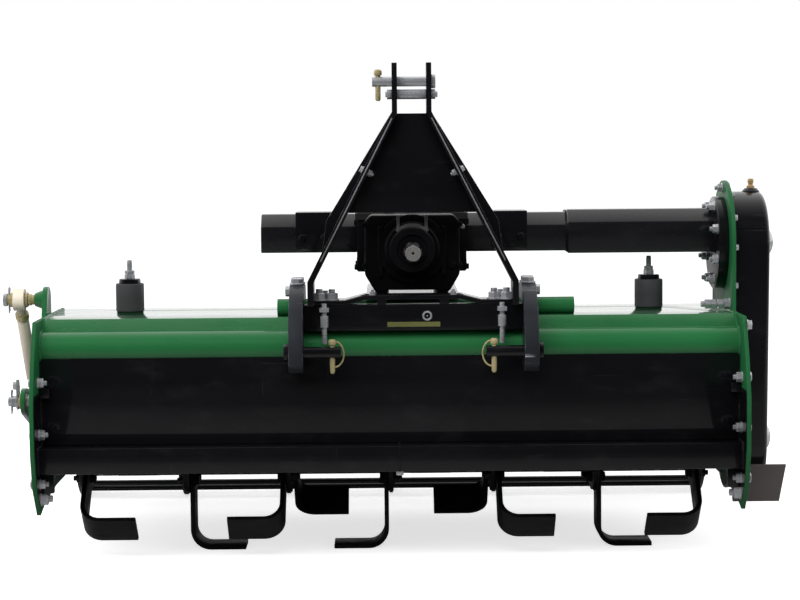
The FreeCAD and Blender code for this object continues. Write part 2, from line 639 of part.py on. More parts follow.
def gearbox_mount():
    """Joggled plate on the cross member that carries the gearbox over the rear pipe."""
    front, back = CROSS_FRONT_Y, CROSS_FRONT_Y + MOUNT_DEPTH
    low0, low1 = CROSS_Z1, CROSS_Z1 + MOUNT_T
    high0, high1 = MOUNT_Z0, GEAR_Z0
    end = STRAP_HALF_W - STRAP_FOOT_T - STRAP_FIT
    shelf = MOUNT_SHELF_HALF
    knee = shelf + MOUNT_SLOPE
    right_half = [(shelf, high0), (knee, low0), (end, low0), (end, low1), (knee + MOUNT_MITRE, low1),
                  (shelf + MOUNT_MITRE, high1)]
    outline = right_half + [(-x, z) for x, z in right_half[::-1]]
    pieces = [front_prism([(HEAD_X + x, z) for x, z in outline], front, back),
              box(HEAD_X - shelf, HEAD_X + shelf, back, GEAR_BACK_Y, high0, high1)]
    for side in (-1, 1):
        x = HEAD_X + side * MOUNT_BLOCK_X - MOUNT_BLOCK_W / 2
        pieces.append(box(x, x + MOUNT_BLOCK_W, front, front + MOUNT_BLOCK_D, low0, high0))
    return joined(pieces)


def lock_bolt(side):
    x = HEAD_X + side * LOCK_BOLT_X
    y = CROSS_FRONT_Y - LOCK_RING_R
    top = CROSS_Z1 + LOCK_BOLT_RISE
    shank = rod((x, y, top - LOCK_BOLT_L), UP, LOCK_BOLT_L, LOCK_BOLT_R)
    ring = rod((x, y, top - LOCK_RING_DROP), UP, LOCK_RING_L, LOCK_RING_R)
    lug = box(x - LOCK_LUG_HALF, x + LOCK_LUG_HALF, y - LOCK_LUG_HALF, CROSS_FRONT_Y,
              top - 2 * LOCK_LUG_T, top - LOCK_LUG_T)
    return joined([shank, ring, lug])


def headstock_pieces():
    left_x, right_x = HEAD_X - CLAMP_IN, HEAD_X + CLAMP_IN
    pipe_x0 = left_x - CLAMP_T - PIPE_PAST_LEFT
    pipe_x1 = right_x + CLAMP_T + PIPE_PAST_RIGHT
    return {
        "hitch_clamp_left": hitch_clamp(left_x, -1),
        "hitch_clamp_right": hitch_clamp(right_x, 1),
        "slide_pipe": pipe((pipe_x0, PIPE_Y, PIPE_Z), ACROSS, pipe_x1 - pipe_x0, PIPE_R, PIPE_R - PIPE_WALL),
        "cross_member": square_tube(left_x, right_x, CROSS_FRONT_Y, CROSS_BACK_Y, CROSS_Z0, CROSS_Z1,
                                    CROSS_WALL),
        "gearbox_mount": gearbox_mount(),
        "headstock_left": strap(-1),
        "headstock_right": strap(1),
        "headstock_sheet": headstock_sheet(),
        "top_link_pin": top_link_pin(),
        "top_link_spacer": top_link_spacer(),
        "lower_pin_left": lower_pin(left_x, -1),
        "lower_pin_right": lower_pin(right_x, 1),
        "lock_bolts": Part.makeCompound([lock_bolt(-1), lock_bolt(1)]),
    }


# ---- rotor ----
def blade(x_face, side, angle):
    """L blade on one face of a disc: angle 0 points backwards, 90 up; side is its leg's direction."""
    outer, inner = BLADE_BEND_R + BLADE_T, BLADE_BEND_R
    tip = ROTOR_REACH
    y0, y1 = -BLADE_CHORD / 2, BLADE_CHORD / 2
    shank = box(0, BLADE_T, y0, y1, BLADE_ROOT_R, tip - outer)
    leg = box(outer, BLADE_REACH, y0, y1, tip - BLADE_T, tip)
    bend = pipe((outer, y0, tip - outer), BACK, BLADE_CHORD, outer, inner)
    bend = bend.common(box(0, outer, y0, y1, tip - outer, tip))
    solid = joined([shank, bend, leg])
    if side < 0:
        solid = mirrored(solid)
    solid.rotate(V(0, 0, 0), ACROSS, angle - 90)
    solid.translate(V(x_face, 0, ROTOR_Z))
    return solid


def blade_layout():
    """(station, angle, side) of every blade."""
    crossed = {1: 1, 3: -1, 5: 1}
    slanted = {2: -1, 4: 1}
    layout = [(0, 225, 1), (0, 45, 1), (STATIONS - 1, 225, -1), (STATIONS - 1, 45, -1)]
    for station, side in crossed.items():
        layout += [(station, 270, side), (station, 90, side), (station, 0, -side), (station, 180, -side)]
    for station, side in slanted.items():
        layout += [(station, 225, side), (station, 45, side), (station, 315, -side),
                   (station, 135, -side)]
    return layout


def rotor_pieces():
    half = HALF - ROTOR_END_GAP
    drum = [pipe((-half, 0, ROTOR_Z), ACROSS, 2 * half, ROTOR_TUBE_R, ROTOR_TUBE_R - ROTOR_TUBE_WALL)]
    for side, reach in ((-1, OUTER + LEFT_BEARING_T - JOURNAL_END_GAP),
                        (1, CASE_OUT - CASE_WALL - JOURNAL_END_GAP)):
        drum.append(rod((side * (half - JOURNAL_SEAT), 0, ROTOR_Z), ACROSS * side, JOURNAL_SEAT,
                        ROTOR_TUBE_R - ROTOR_TUBE_WALL / 2))
        drum.append(rod((side * half, 0, ROTOR_Z), ACROSS * side, reach - half, JOURNAL_R))
    stations = [(i - (STATIONS - 1) / 2) * STATION_PITCH for i in range(STATIONS)]
    discs = [pipe((x - DISC_T / 2, 0, ROTOR_Z), ACROSS, DISC_T, DISC_R, ROTOR_TUBE_R) for x in stations]
    blades = [blade(stations[i] + side * DISC_T / 2, side, angle) for i, angle, side in blade_layout()]
    return {
        "rotor_drum": joined(drum),
        "rotor_discs": Part.makeCompound(discs),
        "rotor_blades": Part.makeCompound(blades),
    }


def pto_shaft():
    """Round stub on the neck's face, with a thinner seat inside the gearbox."""
    face_y = GEAR_FRONT_Y - NECK_L - PTO_FACE_GAP
    stub = rod((HEAD_X, face_y - PTO_FREE, DRIVE_Z), BACK, PTO_FREE, PTO_R)
    seat = rod((HEAD_X, face_y, DRIVE_Z), BACK, PTO_SEAT, PTO_SEAT_R)
    return joined([stub, seat])


# ---- levelling board ----
def levelling_board():
    y, z = BOARD_HINGE
    half = HALF - BOARD_SIDE_GAP
    knuckle = pipe((-half, y, z), ACROSS, 2 * half, KNUCKLE_R, BOARD_ROD_R + SHAFT_FIT)
    face = KNUCKLE_R
    sheet = box(-half, half, y + face - BOARD_T, y + face, z - BOARD_L, z)
    lip = box(-half, half, y + face - BOARD_T, y + face + BOARD_LIP, z - BOARD_L - BOARD_T, z - BOARD_L)
    board = joined([sheet.cut(rod((-half, y, z), ACROSS, 2 * half, KNUCKLE_R - 1)), knuckle, lip])
    board.rotate(V(0, y, z), ACROSS, BOARD_LEAN)
    return board


# ---- roller ----
def roller_cage():
    pieces = []
    for i in range(ROLLER_BARS):
        angle = 2 * math.pi * i / ROLLER_BARS
        ring_r = ROLLER_R - RING_DEPTH / 2
        start = (-ROLLER_HALF, ROLLER_Y + ring_r * math.cos(angle), ROLLER_Z + ring_r * math.sin(angle))
        pieces.append(rod(start, ACROSS, 2 * ROLLER_HALF, ROLLER_BAR_R))
    for i in range(ROLLER_RINGS):
        x = -ROLLER_HALF + i * (2 * ROLLER_HALF - RING_T) / (ROLLER_RINGS - 1)
        at_end = i in (0, ROLLER_RINGS - 1)
        bore = ROLLER_SHAFT_R if at_end else ROLLER_R - RING_DEPTH
        pieces.append(pipe((x, ROLLER_Y, ROLLER_Z), ACROSS, RING_T, ROLLER_R, bore))
    return joined(pieces)


def arm_plate():
    """Left arm: the strut's eye in front of the hinge, the roller's bearing at the back."""
    x0, x1 = -ARM_X - ARM_T, -ARM_X
    axle = (ROLLER_Y, ROLLER_Z)
    plate = joined([link(STRUT_FOOT, ARM_HINGE, ARM_NOSE_R, ARM_WAIST_R, x0, x1),
                    link(ARM_HINGE, axle, ARM_WAIST_R, ARM_AXLE_R, x0, x1),
                    link(axle, CROSS_TUBE, ARM_WEB_R, ARM_TAIL_R, x0, x1),
                    rod((x1, *axle), ACROSS, AXLE_BOSS_L, ARM_WEB_R)])
    plate = plate.cut(rod((x0, *ARM_HINGE), ACROSS, ARM_T, ARM_PIN_R + SHAFT_FIT))
    return plate.cut(rod((x0, *axle), ACROSS, ARM_T + AXLE_BOSS_L, ROLLER_SHAFT_R + SHAFT_FIT))


def arm_hub(side):
    """Boss on a side plate, with the pin that the arm turns on."""
    reach = ARM_X - ARM_HUB_GAP
    boss = rod((side * OUTER, *ARM_HINGE), ACROSS * side, reach - OUTER, ARM_HUB_R)
    pin = rod((side * OUTER, *ARM_HINGE), ACROSS * side, ARM_X + ARM_T + ARM_PIN_TAIL - OUTER, ARM_PIN_R)
    return joined([boss, pin])


def roller_pieces():
    y, z = CROSS_TUBE
    half = CROSS_TUBE_SIZE / 2
    reach = ARM_X + ARM_T - AXLE_END_GAP
    left = arm_plate().cut(rod((-ARM_X - ARM_T, *STRUT_FOOT), ACROSS, ARM_T, STRUT_PIN_R))
    return {
        "roller_arm_left": left,
        "roller_arm_right": mirrored(arm_plate()),
        "roller_cross_tube": square_tube(-ARM_X, ARM_X, y - half, y + half, z - half, z + half,
                                         CROSS_TUBE_WALL),
        "roller_cage": roller_cage(),
        "roller_shaft": rod((-reach, ROLLER_Y, ROLLER_Z), ACROSS, 2 * reach, ROLLER_SHAFT_R),
        "arm_hub_left": arm_hub(-1),
        "arm_hub_right": arm_hub(1),
    }


# ---- depth screw ----
def strut_frame():
    """Unit vector from the strut's top eye to its foot, and the distance."""
    span = V(0, STRUT_FOOT[0] - STRUT_TOP[0], STRUT_FOOT[1] - STRUT_TOP[1])
    length = span.Length
    span.normalize()
    return span, length


def eye(centre, bore):
    half = STRUT_EYE_T / 2
    return pipe((STRUT_X - half, *centre), ACROSS, STRUT_EYE_T, STRUT_EYE_R, bore)


def strut_pieces():
    span, length = strut_frame()
    top = V(STRUT_X, *STRUT_TOP)
    sleeve_from = STRUT_EYE_R + STRUT_NECK_L
    sleeve_l = length - SLEEVE_SHORT
    rod_from = sleeve_from + ROD_BEHIND

    def along(start, reach, radius):
        return Part.makeCylinder(radius, reach, top + span * start, span)

    neck_from = STRUT_EYE_R - STRUT_SINK
    neck = along(neck_from, sleeve_from - neck_from, STRUT_ROD_R + STRUT_NECK_GROW)
    sleeve = along(sleeve_from, sleeve_l, STRUT_SLEEVE_R).cut(
        along(sleeve_from + SLEEVE_PLUG, sleeve_l, STRUT_ROD_R + SHAFT_FIT))
    shank = along(rod_from, length - rod_from - STRUT_EYE_R + STRUT_SINK, STRUT_ROD_R)
    lower = joined([eye(STRUT_FOOT, STRUT_PIN_R + STRUT_FOOT_PLAY), shank])
    y, z = STRUT_TOP
    lug_foot = (y - LUG_SET_AHEAD, z - LUG_DROP)
    lug_plate = link((y, z), lug_foot, LUG_TOP_R, LUG_LOW_R, -OUTER - LUG_T, -OUTER)
    foot_r, tip_r, cone_l = LUG_CONE
    outward = ACROSS * -1
    cone = Part.makeCone(foot_r, tip_r, cone_l, V(-OUTER - LUG_T, y, z), outward)
    pin = rod((-OUTER - LUG_T - cone_l, y, z), outward, STRUT_PIN_L, STRUT_PIN_R)
    pin_start = STRUT_X + FOOT_PIN_INSIDE
    foot_pin = rod((pin_start, *STRUT_FOOT), outward, ARM_X + ARM_T + pin_start + FOOT_PIN_OUTSIDE, STRUT_PIN_R)
    return {
        "strut_lug": joined([lug_plate, cone]),
        "strut_pin": pin,
        "strut_eye": joined([eye(STRUT_TOP, STRUT_PIN_R + SHAFT_FIT), neck]),
        "strut_sleeve": sleeve,
        "strut_rod": lower,
        "strut_foot_pin": foot_pin,
    }


def footprint_middle(pieces):
    limits = Part.makeCompound(list(pieces.values())).BoundBox
    return V((limits.XMin + limits.XMax) / 2, (limits.YMin + limits.YMax) / 2, 0)


def build():
    pieces = {}
    for group in (hood_pieces, drive_pieces, headstock_pieces, rotor_pieces, roller_pieces, strut_pieces):
        pieces.update(group())
    pieces["pto_shaft"] = pto_shaft()
    pieces["levelling_board"] = levelling_board()
    shift = footprint_middle(pieces) * -1
    for shape in pieces.values():
        shape.translate(shift)
    return pieces, shift


PIECES, SHIFT = build()
os.makedirs("parts", exist_ok=True)
for name, shape in PIECES.items():
    shape.exportStep(f"parts/{name}.step")
print(f"{len(PIECES)} nodes, drawn frame to row frame: {SHIFT.x:.3f} {SHIFT.y:.3f} {SHIFT.z:.3f}")
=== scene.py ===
"""Stone burier for a compact tractor: finishes, fasteners and fine parts over the fixed frame."""

import json
import logging
import math
from dataclasses import dataclass, field, replace
from enum import Enum
from typing import Sequence

import bmesh
import bpy
from mathutils import Matrix, Vector

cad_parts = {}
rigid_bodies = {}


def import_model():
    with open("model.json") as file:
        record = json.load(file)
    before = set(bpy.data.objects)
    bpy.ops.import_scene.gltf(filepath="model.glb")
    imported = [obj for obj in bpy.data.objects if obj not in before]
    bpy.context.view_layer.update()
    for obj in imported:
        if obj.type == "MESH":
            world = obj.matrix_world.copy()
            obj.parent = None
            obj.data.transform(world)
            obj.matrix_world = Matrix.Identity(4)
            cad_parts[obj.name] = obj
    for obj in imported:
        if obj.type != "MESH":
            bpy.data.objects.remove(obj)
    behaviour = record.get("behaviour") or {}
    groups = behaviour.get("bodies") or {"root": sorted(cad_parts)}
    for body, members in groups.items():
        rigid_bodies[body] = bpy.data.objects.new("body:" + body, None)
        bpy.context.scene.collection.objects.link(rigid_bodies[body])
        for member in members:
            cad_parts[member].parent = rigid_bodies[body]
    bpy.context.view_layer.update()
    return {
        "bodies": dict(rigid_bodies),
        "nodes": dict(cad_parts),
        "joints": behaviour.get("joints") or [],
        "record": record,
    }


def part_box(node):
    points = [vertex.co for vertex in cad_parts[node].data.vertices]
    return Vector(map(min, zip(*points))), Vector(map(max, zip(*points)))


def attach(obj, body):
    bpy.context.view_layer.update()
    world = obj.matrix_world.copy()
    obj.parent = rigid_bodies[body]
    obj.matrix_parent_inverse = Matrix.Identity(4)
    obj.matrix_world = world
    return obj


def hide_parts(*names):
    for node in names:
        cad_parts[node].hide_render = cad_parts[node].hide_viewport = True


LOG = logging.getLogger("stone_burier")
Point = tuple[float, float, float]
Flat = tuple[float, float]
Shape = bmesh.types.BMesh
Piece = bpy.types.Object
Node = bpy.types.Node
Socket = bpy.types.NodeSocket
RIGHT: Point = (1, 0, 0)
LEFT: Point = (-1, 0, 0)
FORWARD: Point = (0, -1, 0)
UP: Point = (0, 0, 1)
DOWN: Point = (0, 0, -1)
AXIS_X = Vector(RIGHT)
AHEAD = -Vector((0, 1, 0))
SIDES = (-1, 1)


# ---------------------------------------------------------------- node graphs
class Graph:
    """A node tree that is built one node at a time, each with what feeds it."""

    def __init__(self, tree: bpy.types.NodeTree) -> None:
        """Empties the tree and keeps it."""
        self.tree = tree
        tree.nodes.clear()

    def node(self, kind: str, inputs: dict[str | int, object] | None = None,
             **settings: object) -> Node:
        """Adds a node.

        Args:
            kind: Full name of the node's type.
            inputs: What goes into its sockets, a value or the socket of another node.
            **settings: Attributes of the node, set before its inputs.

        Returns:
            The new node.
        """
        node = self.tree.nodes.new(kind)
        for key, value in settings.items():
            setattr(node, key, value)
        for key, value in (inputs or {}).items():
            if isinstance(value, Socket):
                self.tree.links.new(value, node.inputs[key])
            else:
                node.inputs[key].default_value = value
        return node

    def remap(self, value: Socket, source: Flat, target: Flat = (0.0, 1.0)) -> Socket:
        """A clamped linear remap.

        Args:
            value: Input socket.
            source: Inputs that give the two ends of the target.
            target: Outputs at those inputs.

        Returns:
            The remapped socket.
        """
        return self.node("ShaderNodeMapRange", {
            "Value": value, "From Min": source[0], "From Max": source[1],
            "To Min": target[0], "To Max": target[1]}).outputs["Result"]

    def ramp_back(self, coordinates: str, source: Flat, target: Flat) -> Socket:
        """A remap of how far back a point lies.

        Args:
            coordinates: Name of the texture coordinates that tell it.
            source: Distances that give the two ends of the target.
            target: Outputs at those distances.

        Returns:
            The remapped socket.
        """
        coords = self.node("ShaderNodeTexCoord").outputs[coordinates]
        split = self.node("ShaderNodeSeparateXYZ", {"Vector": coords})
        return self.remap(split.outputs["Y"], source, target)

    def by_ray(self, ray: str, others: Socket, seen: Socket) -> Socket:
        """One shader for the rays of a kind and another for the rest."""
        fac = self.node("ShaderNodeLightPath").outputs[ray]
        return self.node("ShaderNodeMixShader", {"Fac": fac, 1: others, 2: seen}).outputs["Shader"]


# ---------------------------------------------------------------- finishes
@dataclass(frozen=True)
class Skin:
    """Close-up texture of a kind of surface.

    Args:
        peel_scale: Grains per metre of the fine bump.
        peel_depth: Height of the fine bump in metres.
        wave_depth: Height of the slow waviness in metres.
        streak: How far the roughness strays either way.
    """

    peel_scale: float
    peel_depth: float
    wave_depth: float
    streak: float


class Surface(Enum):
    """Kinds of surface, each with its skin."""

    GLOSS_PAINT = Skin(260.0, 0.00002, 0.0003, 0.10)
    SATIN_PAINT = Skin(420.0, 0.00004, 0.0002, 0.14)
    PAINTED_CASTING = Skin(340.0, 0.00025, 0.0006, 0.12)
    PLATED_STEEL = Skin(900.0, 0.00003, 0.0, 0.22)
    MOULDED_RUBBER = Skin(1200.0, 0.00004, 0.0002, 0.10)


@dataclass(frozen=True)
class Noise:
    """Noise on a piece's own coordinates.

    Args:
        scale: Features per metre.
        detail: Octaves.
        band: Values that a mask of it turns into its two ends.
        stretch: Scale of each axis.
    """

    scale: float
    detail: float
    band: Flat = (0.0, 1.0)
    stretch: Point = (1.0, 1.0, 1.0)


@dataclass(frozen=True)
class Finish:
    """One finish of the machine, from which its material is made.

    Args:
        name: Name of the material.
        slot: Material slot of the record that it belongs to; not used.
        surface: Kind of surface.
        base: Colour, linear.
        worn: Colour where edges are rubbed or scratched, linear.
        roughness: Mean roughness.
        metallic: 1 for bare or plated metal.
        coat: Weight of the clear gloss over paint.
        specular: Specular level of the body.
        mottle: Share by which the colour drifts over the surface.
        rubbed: How far wear reaches in from the edges, 0 to 1.
        scratched: Share of the surface with fine scratches.
    """

    name: str
    slot: str
    surface: Surface
    base: Point
    worn: Point
    roughness: float
    metallic: float = 0.0
    coat: float = 0.0
    specular: float = 0.5
    mottle: float = 0.12
    rubbed: float = 0.3
    scratched: float = 0.1

    def material(self) -> bpy.types.Material:
        """The finish's material, made once."""
        return bpy.data.materials.get(self.name) or FinishGraph(self).build()


class FinishGraph(Graph):
    """Node graph of one finish: drift, lighter patches of dust and painted sheen, scratches,
    rubbed edges and fine bump.
    """

    DRIFT = Noise(5.0, 4.0, (0.3, 0.7))
    # Lighter patches over every finish: dust, and on the black paints also a painted sheen.
    DUST_AND_SHEEN_PATCHES = Noise(16.0, 6.0, (0.56, 0.80), (1.0, 1.0, 2.2))
    DUST_AND_SHEEN_SHARE = 0.5
    SMUDGE_BASE, SMUDGE_DUST = 0.7, 0.035
    LINES_ACROSS = Noise(120.0, 3.0, (0.70, 0.78), (0.05, 1.0, 1.0))
    LINES_UPRIGHT = Noise(110.0, 3.0, (0.72, 0.79), (1.0, 1.0, 0.06))
    LINE_GAIN = 2.0
    EDGE_RADIUS = 0.0018
    EDGE_TURN = (0.995, 0.90)
    PATCH_SCALE, PATCH_DETAIL = 45.0, 5.0
    PATCH_BAND, PATCH_REACH = (0.62, 0.70), 0.25
    STREAKS = Noise(30.0, 6.0, (0.3, 0.7), (0.35, 1.0, 1.0))
    LEAST_ROUGHNESS = 0.04
    COAT_ROUGHNESS = 0.06
    WAVES = Noise(9.0, 2.0)
    PEEL_DETAIL = 3.0

    def __init__(self, finish: Finish) -> None:
        """Starts an empty graph for the finish."""
        self.finish = finish
        self.material = bpy.data.materials.new(finish.name)
        self.material.use_nodes = True
        super().__init__(self.material.node_tree)
        self.coords = self.node("ShaderNodeTexCoord").outputs["Object"]

    def noise(self, noise: Noise) -> Socket:
        """Factor of a noise on the piece's own coordinates."""
        mapping = self.node("ShaderNodeMapping", {"Vector": self.coords, "Scale": noise.stretch})
        return self.node("ShaderNodeTexNoise", {
            "Vector": mapping.outputs["Vector"], "Scale": noise.scale,
            "Detail": noise.detail}).outputs["Fac"]

    def mask(self, noise: Noise, target: Flat = (0.0, 1.0)) -> Socket:
        """A noise whose band is remapped to a target."""
        return self.remap(self.noise(noise), noise.band, target)

    def maths(self, operation: str, first: Socket, second: Socket | float) -> Socket:
        """Result of a math node of two inputs."""
        return self.node("ShaderNodeMath", {0: first, 1: second}, operation=operation).outputs[0]

    def mixed(self, factor: Socket, first: Socket | Point, second: Point) -> Socket:
        """Mixes two colours.

        Args:
            factor: 0 for the first colour, 1 for the second.
            first: First colour or the socket that gives it.
            second: Second colour.

        Returns:
            The colour socket.
        """
        start = (*first, 1.0) if isinstance(first, tuple) else first
        return self.node("ShaderNodeMix", {"Factor": factor, 6: start, 7: (*second, 1.0)},
                         data_type="RGBA").outputs[2]

    def bumped(self, height: Socket, depth: float, normal: Socket) -> Socket:
        """Adds a bump to a normal.

        Args:
            height: Height from 0 to 1.
            depth: Real height in metres.
            normal: Normal under it.

        Returns:
            The new normal.
        """
        return self.node("ShaderNodeBump", {
            "Strength": 1.0, "Distance": depth, "Height": height,
            "Normal": normal}).outputs["Normal"]

    def rubbed_edges(self) -> tuple[Socket, Socket]:
        """The softened normal, and a mask of where the edges are rubbed."""
        soft = self.node("ShaderNodeBevel", {"Radius": self.EDGE_RADIUS}, samples=4)
        flat = self.node("ShaderNodeNewGeometry").outputs["Normal"]
        facing = self.node("ShaderNodeVectorMath", {0: soft.outputs["Normal"], 1: flat},
                           operation="DOT_PRODUCT")
        turned = self.remap(facing.outputs["Value"], self.EDGE_TURN)
        start = self.PATCH_BAND[0] - self.PATCH_REACH * self.finish.rubbed
        patches = self.mask(Noise(self.PATCH_SCALE, self.PATCH_DETAIL,
                                  (start, self.PATCH_BAND[1])))
        return soft.outputs["Normal"], self.maths("MULTIPLY", turned, patches)

    def colour(self, wear: Socket) -> Socket:
        """Colour of the surface.

        Args:
            wear: Mask of the rubbed edges.

        Returns:
            The colour socket.
        """
        finish = self.finish
        deep, light = (tuple(c * share for c in finish.base)
                       for share in (1 - finish.mottle, 1 + finish.mottle))
        colour = self.mixed(self.mask(self.DRIFT), deep, light)
        # Lighter patches: dust, and on the black paints a painted sheen.
        dust_and_sheen = self.mask(self.DUST_AND_SHEEN_PATCHES, (0.0, self.DUST_AND_SHEEN_SHARE * finish.mottle))
        dust_and_sheen_colour = tuple(self.SMUDGE_BASE * c + self.SMUDGE_DUST for c in finish.base)
        colour = self.mixed(dust_and_sheen, colour, dust_and_sheen_colour)
        lines = self.maths("MAXIMUM", self.mask(self.LINES_ACROSS), self.mask(self.LINES_UPRIGHT))
        scratches = self.maths("MULTIPLY", lines, min(1.0, self.LINE_GAIN * finish.scratched))
        colour = self.mixed(scratches, colour, finish.worn)
        return self.mixed(self.maths("MULTIPLY", wear, finish.rubbed), colour, finish.worn)

    def build(self) -> bpy.types.Material:
        """Makes the graph and returns the finished material."""
        finish, skin = self.finish, self.finish.surface.value
        normal, wear = self.rubbed_edges()
        rough = (max(self.LEAST_ROUGHNESS, finish.roughness - skin.streak),
                 min(1.0, finish.roughness + skin.streak))
        if skin.wave_depth:
            normal = self.bumped(self.noise(self.WAVES), skin.wave_depth, normal)
        peel = self.noise(Noise(skin.peel_scale, self.PEEL_DETAIL))
        shader = self.node("ShaderNodeBsdfPrincipled", {
            "Base Color": self.colour(wear), "Roughness": self.mask(self.STREAKS, rough),
            "Metallic": finish.metallic, "Coat Weight": finish.coat,
            "Coat Roughness": self.COAT_ROUGHNESS, "Specular IOR Level": finish.specular,
            "Normal": self.bumped(peel, skin.peel_depth, normal)})
        self.node("ShaderNodeOutputMaterial", {"Surface": shader.outputs["BSDF"]})
        return self.material


GREEN = Finish("green_gloss", "green_paint", Surface.GLOSS_PAINT,
               (0.014, 0.112, 0.034), (0.12, 0.20, 0.13), 0.34,
               coat=0.75, specular=0.15, mottle=0.09, rubbed=0.25, scratched=0.05)
# Side plates: the green with a darker base, a painted shade, and a duller gloss.
SHADED_PLATE_GREEN = replace(GREEN, name="plate_green", base=(0.011, 0.092, 0.030), roughness=0.52,
                      coat=0.12, specular=0.20)
HOOD_GREEN = replace(GREEN, name="hood_gloss_green", roughness=0.30, coat=1.0, specular=0.90,
                     rubbed=0.30)
BLACK = Finish("black_gloss", "black_paint", Surface.GLOSS_PAINT,
               (0.0036, 0.0036, 0.0046), (0.07, 0.07, 0.075), 0.34,
               coat=0.7, specular=0.15, mottle=0.25, rubbed=0.35, scratched=0.10)
DRIVE_BLACK = Finish("drive_gloss_black", "black_paint", Surface.GLOSS_PAINT,
                     (0.0036, 0.0036, 0.0050), (0.12, 0.12, 0.13), 0.28,
                     coat=1.0, specular=1.0, mottle=0.20, rubbed=0.50, scratched=0.06)
CLAMP_BLACK = Finish("clamp_worn_black", "black_paint", Surface.PAINTED_CASTING,
                     (0.017, 0.019, 0.023), (0.25, 0.26, 0.29), 0.40,
                     coat=0.2, specular=0.25, mottle=0.35, rubbed=0.80, scratched=0.50)
CASTING = Finish("black_casting", "cast_black", Surface.PAINTED_CASTING,
                 (0.0036, 0.0036, 0.0044), (0.05, 0.05, 0.052), 0.46,
                 coat=0.05, specular=0.12, mottle=0.25, rubbed=0.20, scratched=0.03)
TINES = Finish("blade_black", "blade_steel", Surface.SATIN_PAINT,
               (0.0034, 0.0034, 0.0038), (0.10, 0.095, 0.09), 0.40,
               specular=0.22, mottle=0.30, rubbed=0.45, scratched=0.08)
ZINC = Finish("zinc_plate", "zinc", Surface.PLATED_STEEL,
              (0.60, 0.61, 0.64), (0.80, 0.80, 0.80), 0.26,
              metallic=0.72, mottle=0.22, rubbed=0.2, scratched=0.10)
# The splined stub is near black, far darker than its turned end.
STUB_DARK = Finish("stub_dark_steel", "zinc", Surface.PLATED_STEEL,
                   (0.018, 0.018, 0.018), (0.10, 0.10, 0.10), 0.42,
                   metallic=0.5, mottle=0.20, scratched=0.08)
STUB_STEEL = Finish("stub_steel", "zinc", Surface.PLATED_STEEL,
                    (0.25, 0.245, 0.24), (0.45, 0.45, 0.45), 0.38,
                    metallic=0.6, mottle=0.20, scratched=0.12)
YELLOW_ZINC = Finish("yellow_zinc_plate", "yellow_zinc", Surface.PLATED_STEEL,
                     (0.55, 0.47, 0.25), (0.72, 0.68, 0.52), 0.32, metallic=0.55, mottle=0.20)
BRASS = Finish("brass_fitting", "yellow_zinc", Surface.PLATED_STEEL,
               (0.50, 0.34, 0.16), (0.75, 0.58, 0.30), 0.34,
               metallic=0.5, mottle=0.15, scratched=0.05)
LABEL = Finish("blank_label", "yellow_zinc", Surface.SATIN_PAINT,
               (0.11, 0.115, 0.035), (0.06, 0.06, 0.03), 0.55, mottle=0.35, scratched=0.35)
CREAM = Finish("cream_enamel", "cream_paint", Surface.SATIN_PAINT,
               (0.74, 0.66, 0.54), (0.40, 0.34, 0.26), 0.40, rubbed=0.5, scratched=0.12)
RUBBER = Finish("black_rubber", "rubber", Surface.MOULDED_RUBBER,
                (0.042, 0.042, 0.045), (0.08, 0.08, 0.08), 0.55,
                specular=0.40, mottle=0.20, rubbed=0.4, scratched=0.02)
GUARD_GREY = Finish("guard_plate_grey", "dark_steel", Surface.SATIN_PAINT,
                    (0.078, 0.068, 0.066), (0.16, 0.14, 0.12), 0.45,
                    specular=0.3, mottle=0.14, rubbed=0.4, scratched=0.08)
# Light grey steel: the guard bracket's own colour, and a painted highlight on the straps' edge
# strips.
GREY_STEEL_AND_EDGE_HIGHLIGHT = Finish("rubbed_edge", "dark_steel", Surface.SATIN_PAINT,
                    (0.13, 0.13, 0.135), (0.30, 0.30, 0.30), 0.36,
                    mottle=0.30, rubbed=0.4, scratched=0.25)


# ---------------------------------------------------------------- meshes
ON_AXIS = 1e-7


def lathe(profile: Sequence[Flat], steps: int = 32) -> Shape:
    """Turns a (radius, height) outline about Z.

    Args:
        profile: Points from the axis at the foot to the axis at the top.
        steps: Faces round the axis.

    Returns:
        A closed mesh with its normals outwards.
    """
    shape = bmesh.new()
    rings: list[list[bmesh.types.BMVert]] = []
    for radius, height in profile:
        turns = [2 * math.pi * i / steps for i in range(steps if radius > ON_AXIS else 1)]
        rings.append([shape.verts.new((radius * math.cos(turn), radius * math.sin(turn), height))
                      for turn in turns])
    for low, high in zip(rings, rings[1:]):
        for i in range(steps):
            j = (i + 1) % steps
            corners = (low[i % len(low)], low[j % len(low)],
                       high[j % len(high)], high[i % len(high)])
            unique = list(dict.fromkeys(corners))
            if len(unique) > 2:
                shape.faces.new(unique)
    bmesh.ops.recalc_face_normals(shape, faces=shape.faces)
    return shape


def chamfered(radius: float, thick: float, cut: float, steps: int) -> Shape:
    """A disc about Z with both its rims cut, its foot at height 0."""
    return lathe([(0, 0), (radius - cut, 0), (radius, cut), (radius, thick - cut),
                  (radius - cut, thick), (0, thick)], steps)


def skinned(rings: Sequence[Sequence[Point | Vector]]) -> Shape:
    """A closed body through rings of equal point count.

    Args:
        rings: The corners of each ring.

    Returns:
        The mesh, capped at both ends.
    """
    shape = bmesh.new()
    loops = [[shape.verts.new(point) for point in ring] for ring in rings]
    for low, high in zip(loops, loops[1:]):
        for i in range(len(low)):
            j = (i + 1) % len(low)
            shape.faces.new((low[i], low[j], high[j], high[i]))
    shape.faces.new(loops[0])
    shape.faces.new(loops[-1])
    bmesh.ops.recalc_face_normals(shape, faces=shape.faces)
    return shape


def lofted(sections: Sequence[tuple[Sequence[Flat], float]]) -> Shape:
    """A closed body through (outline, height) pairs of equal point count."""
    return skinned([[(x, y, height) for x, y in outline] for outline, height in sections])


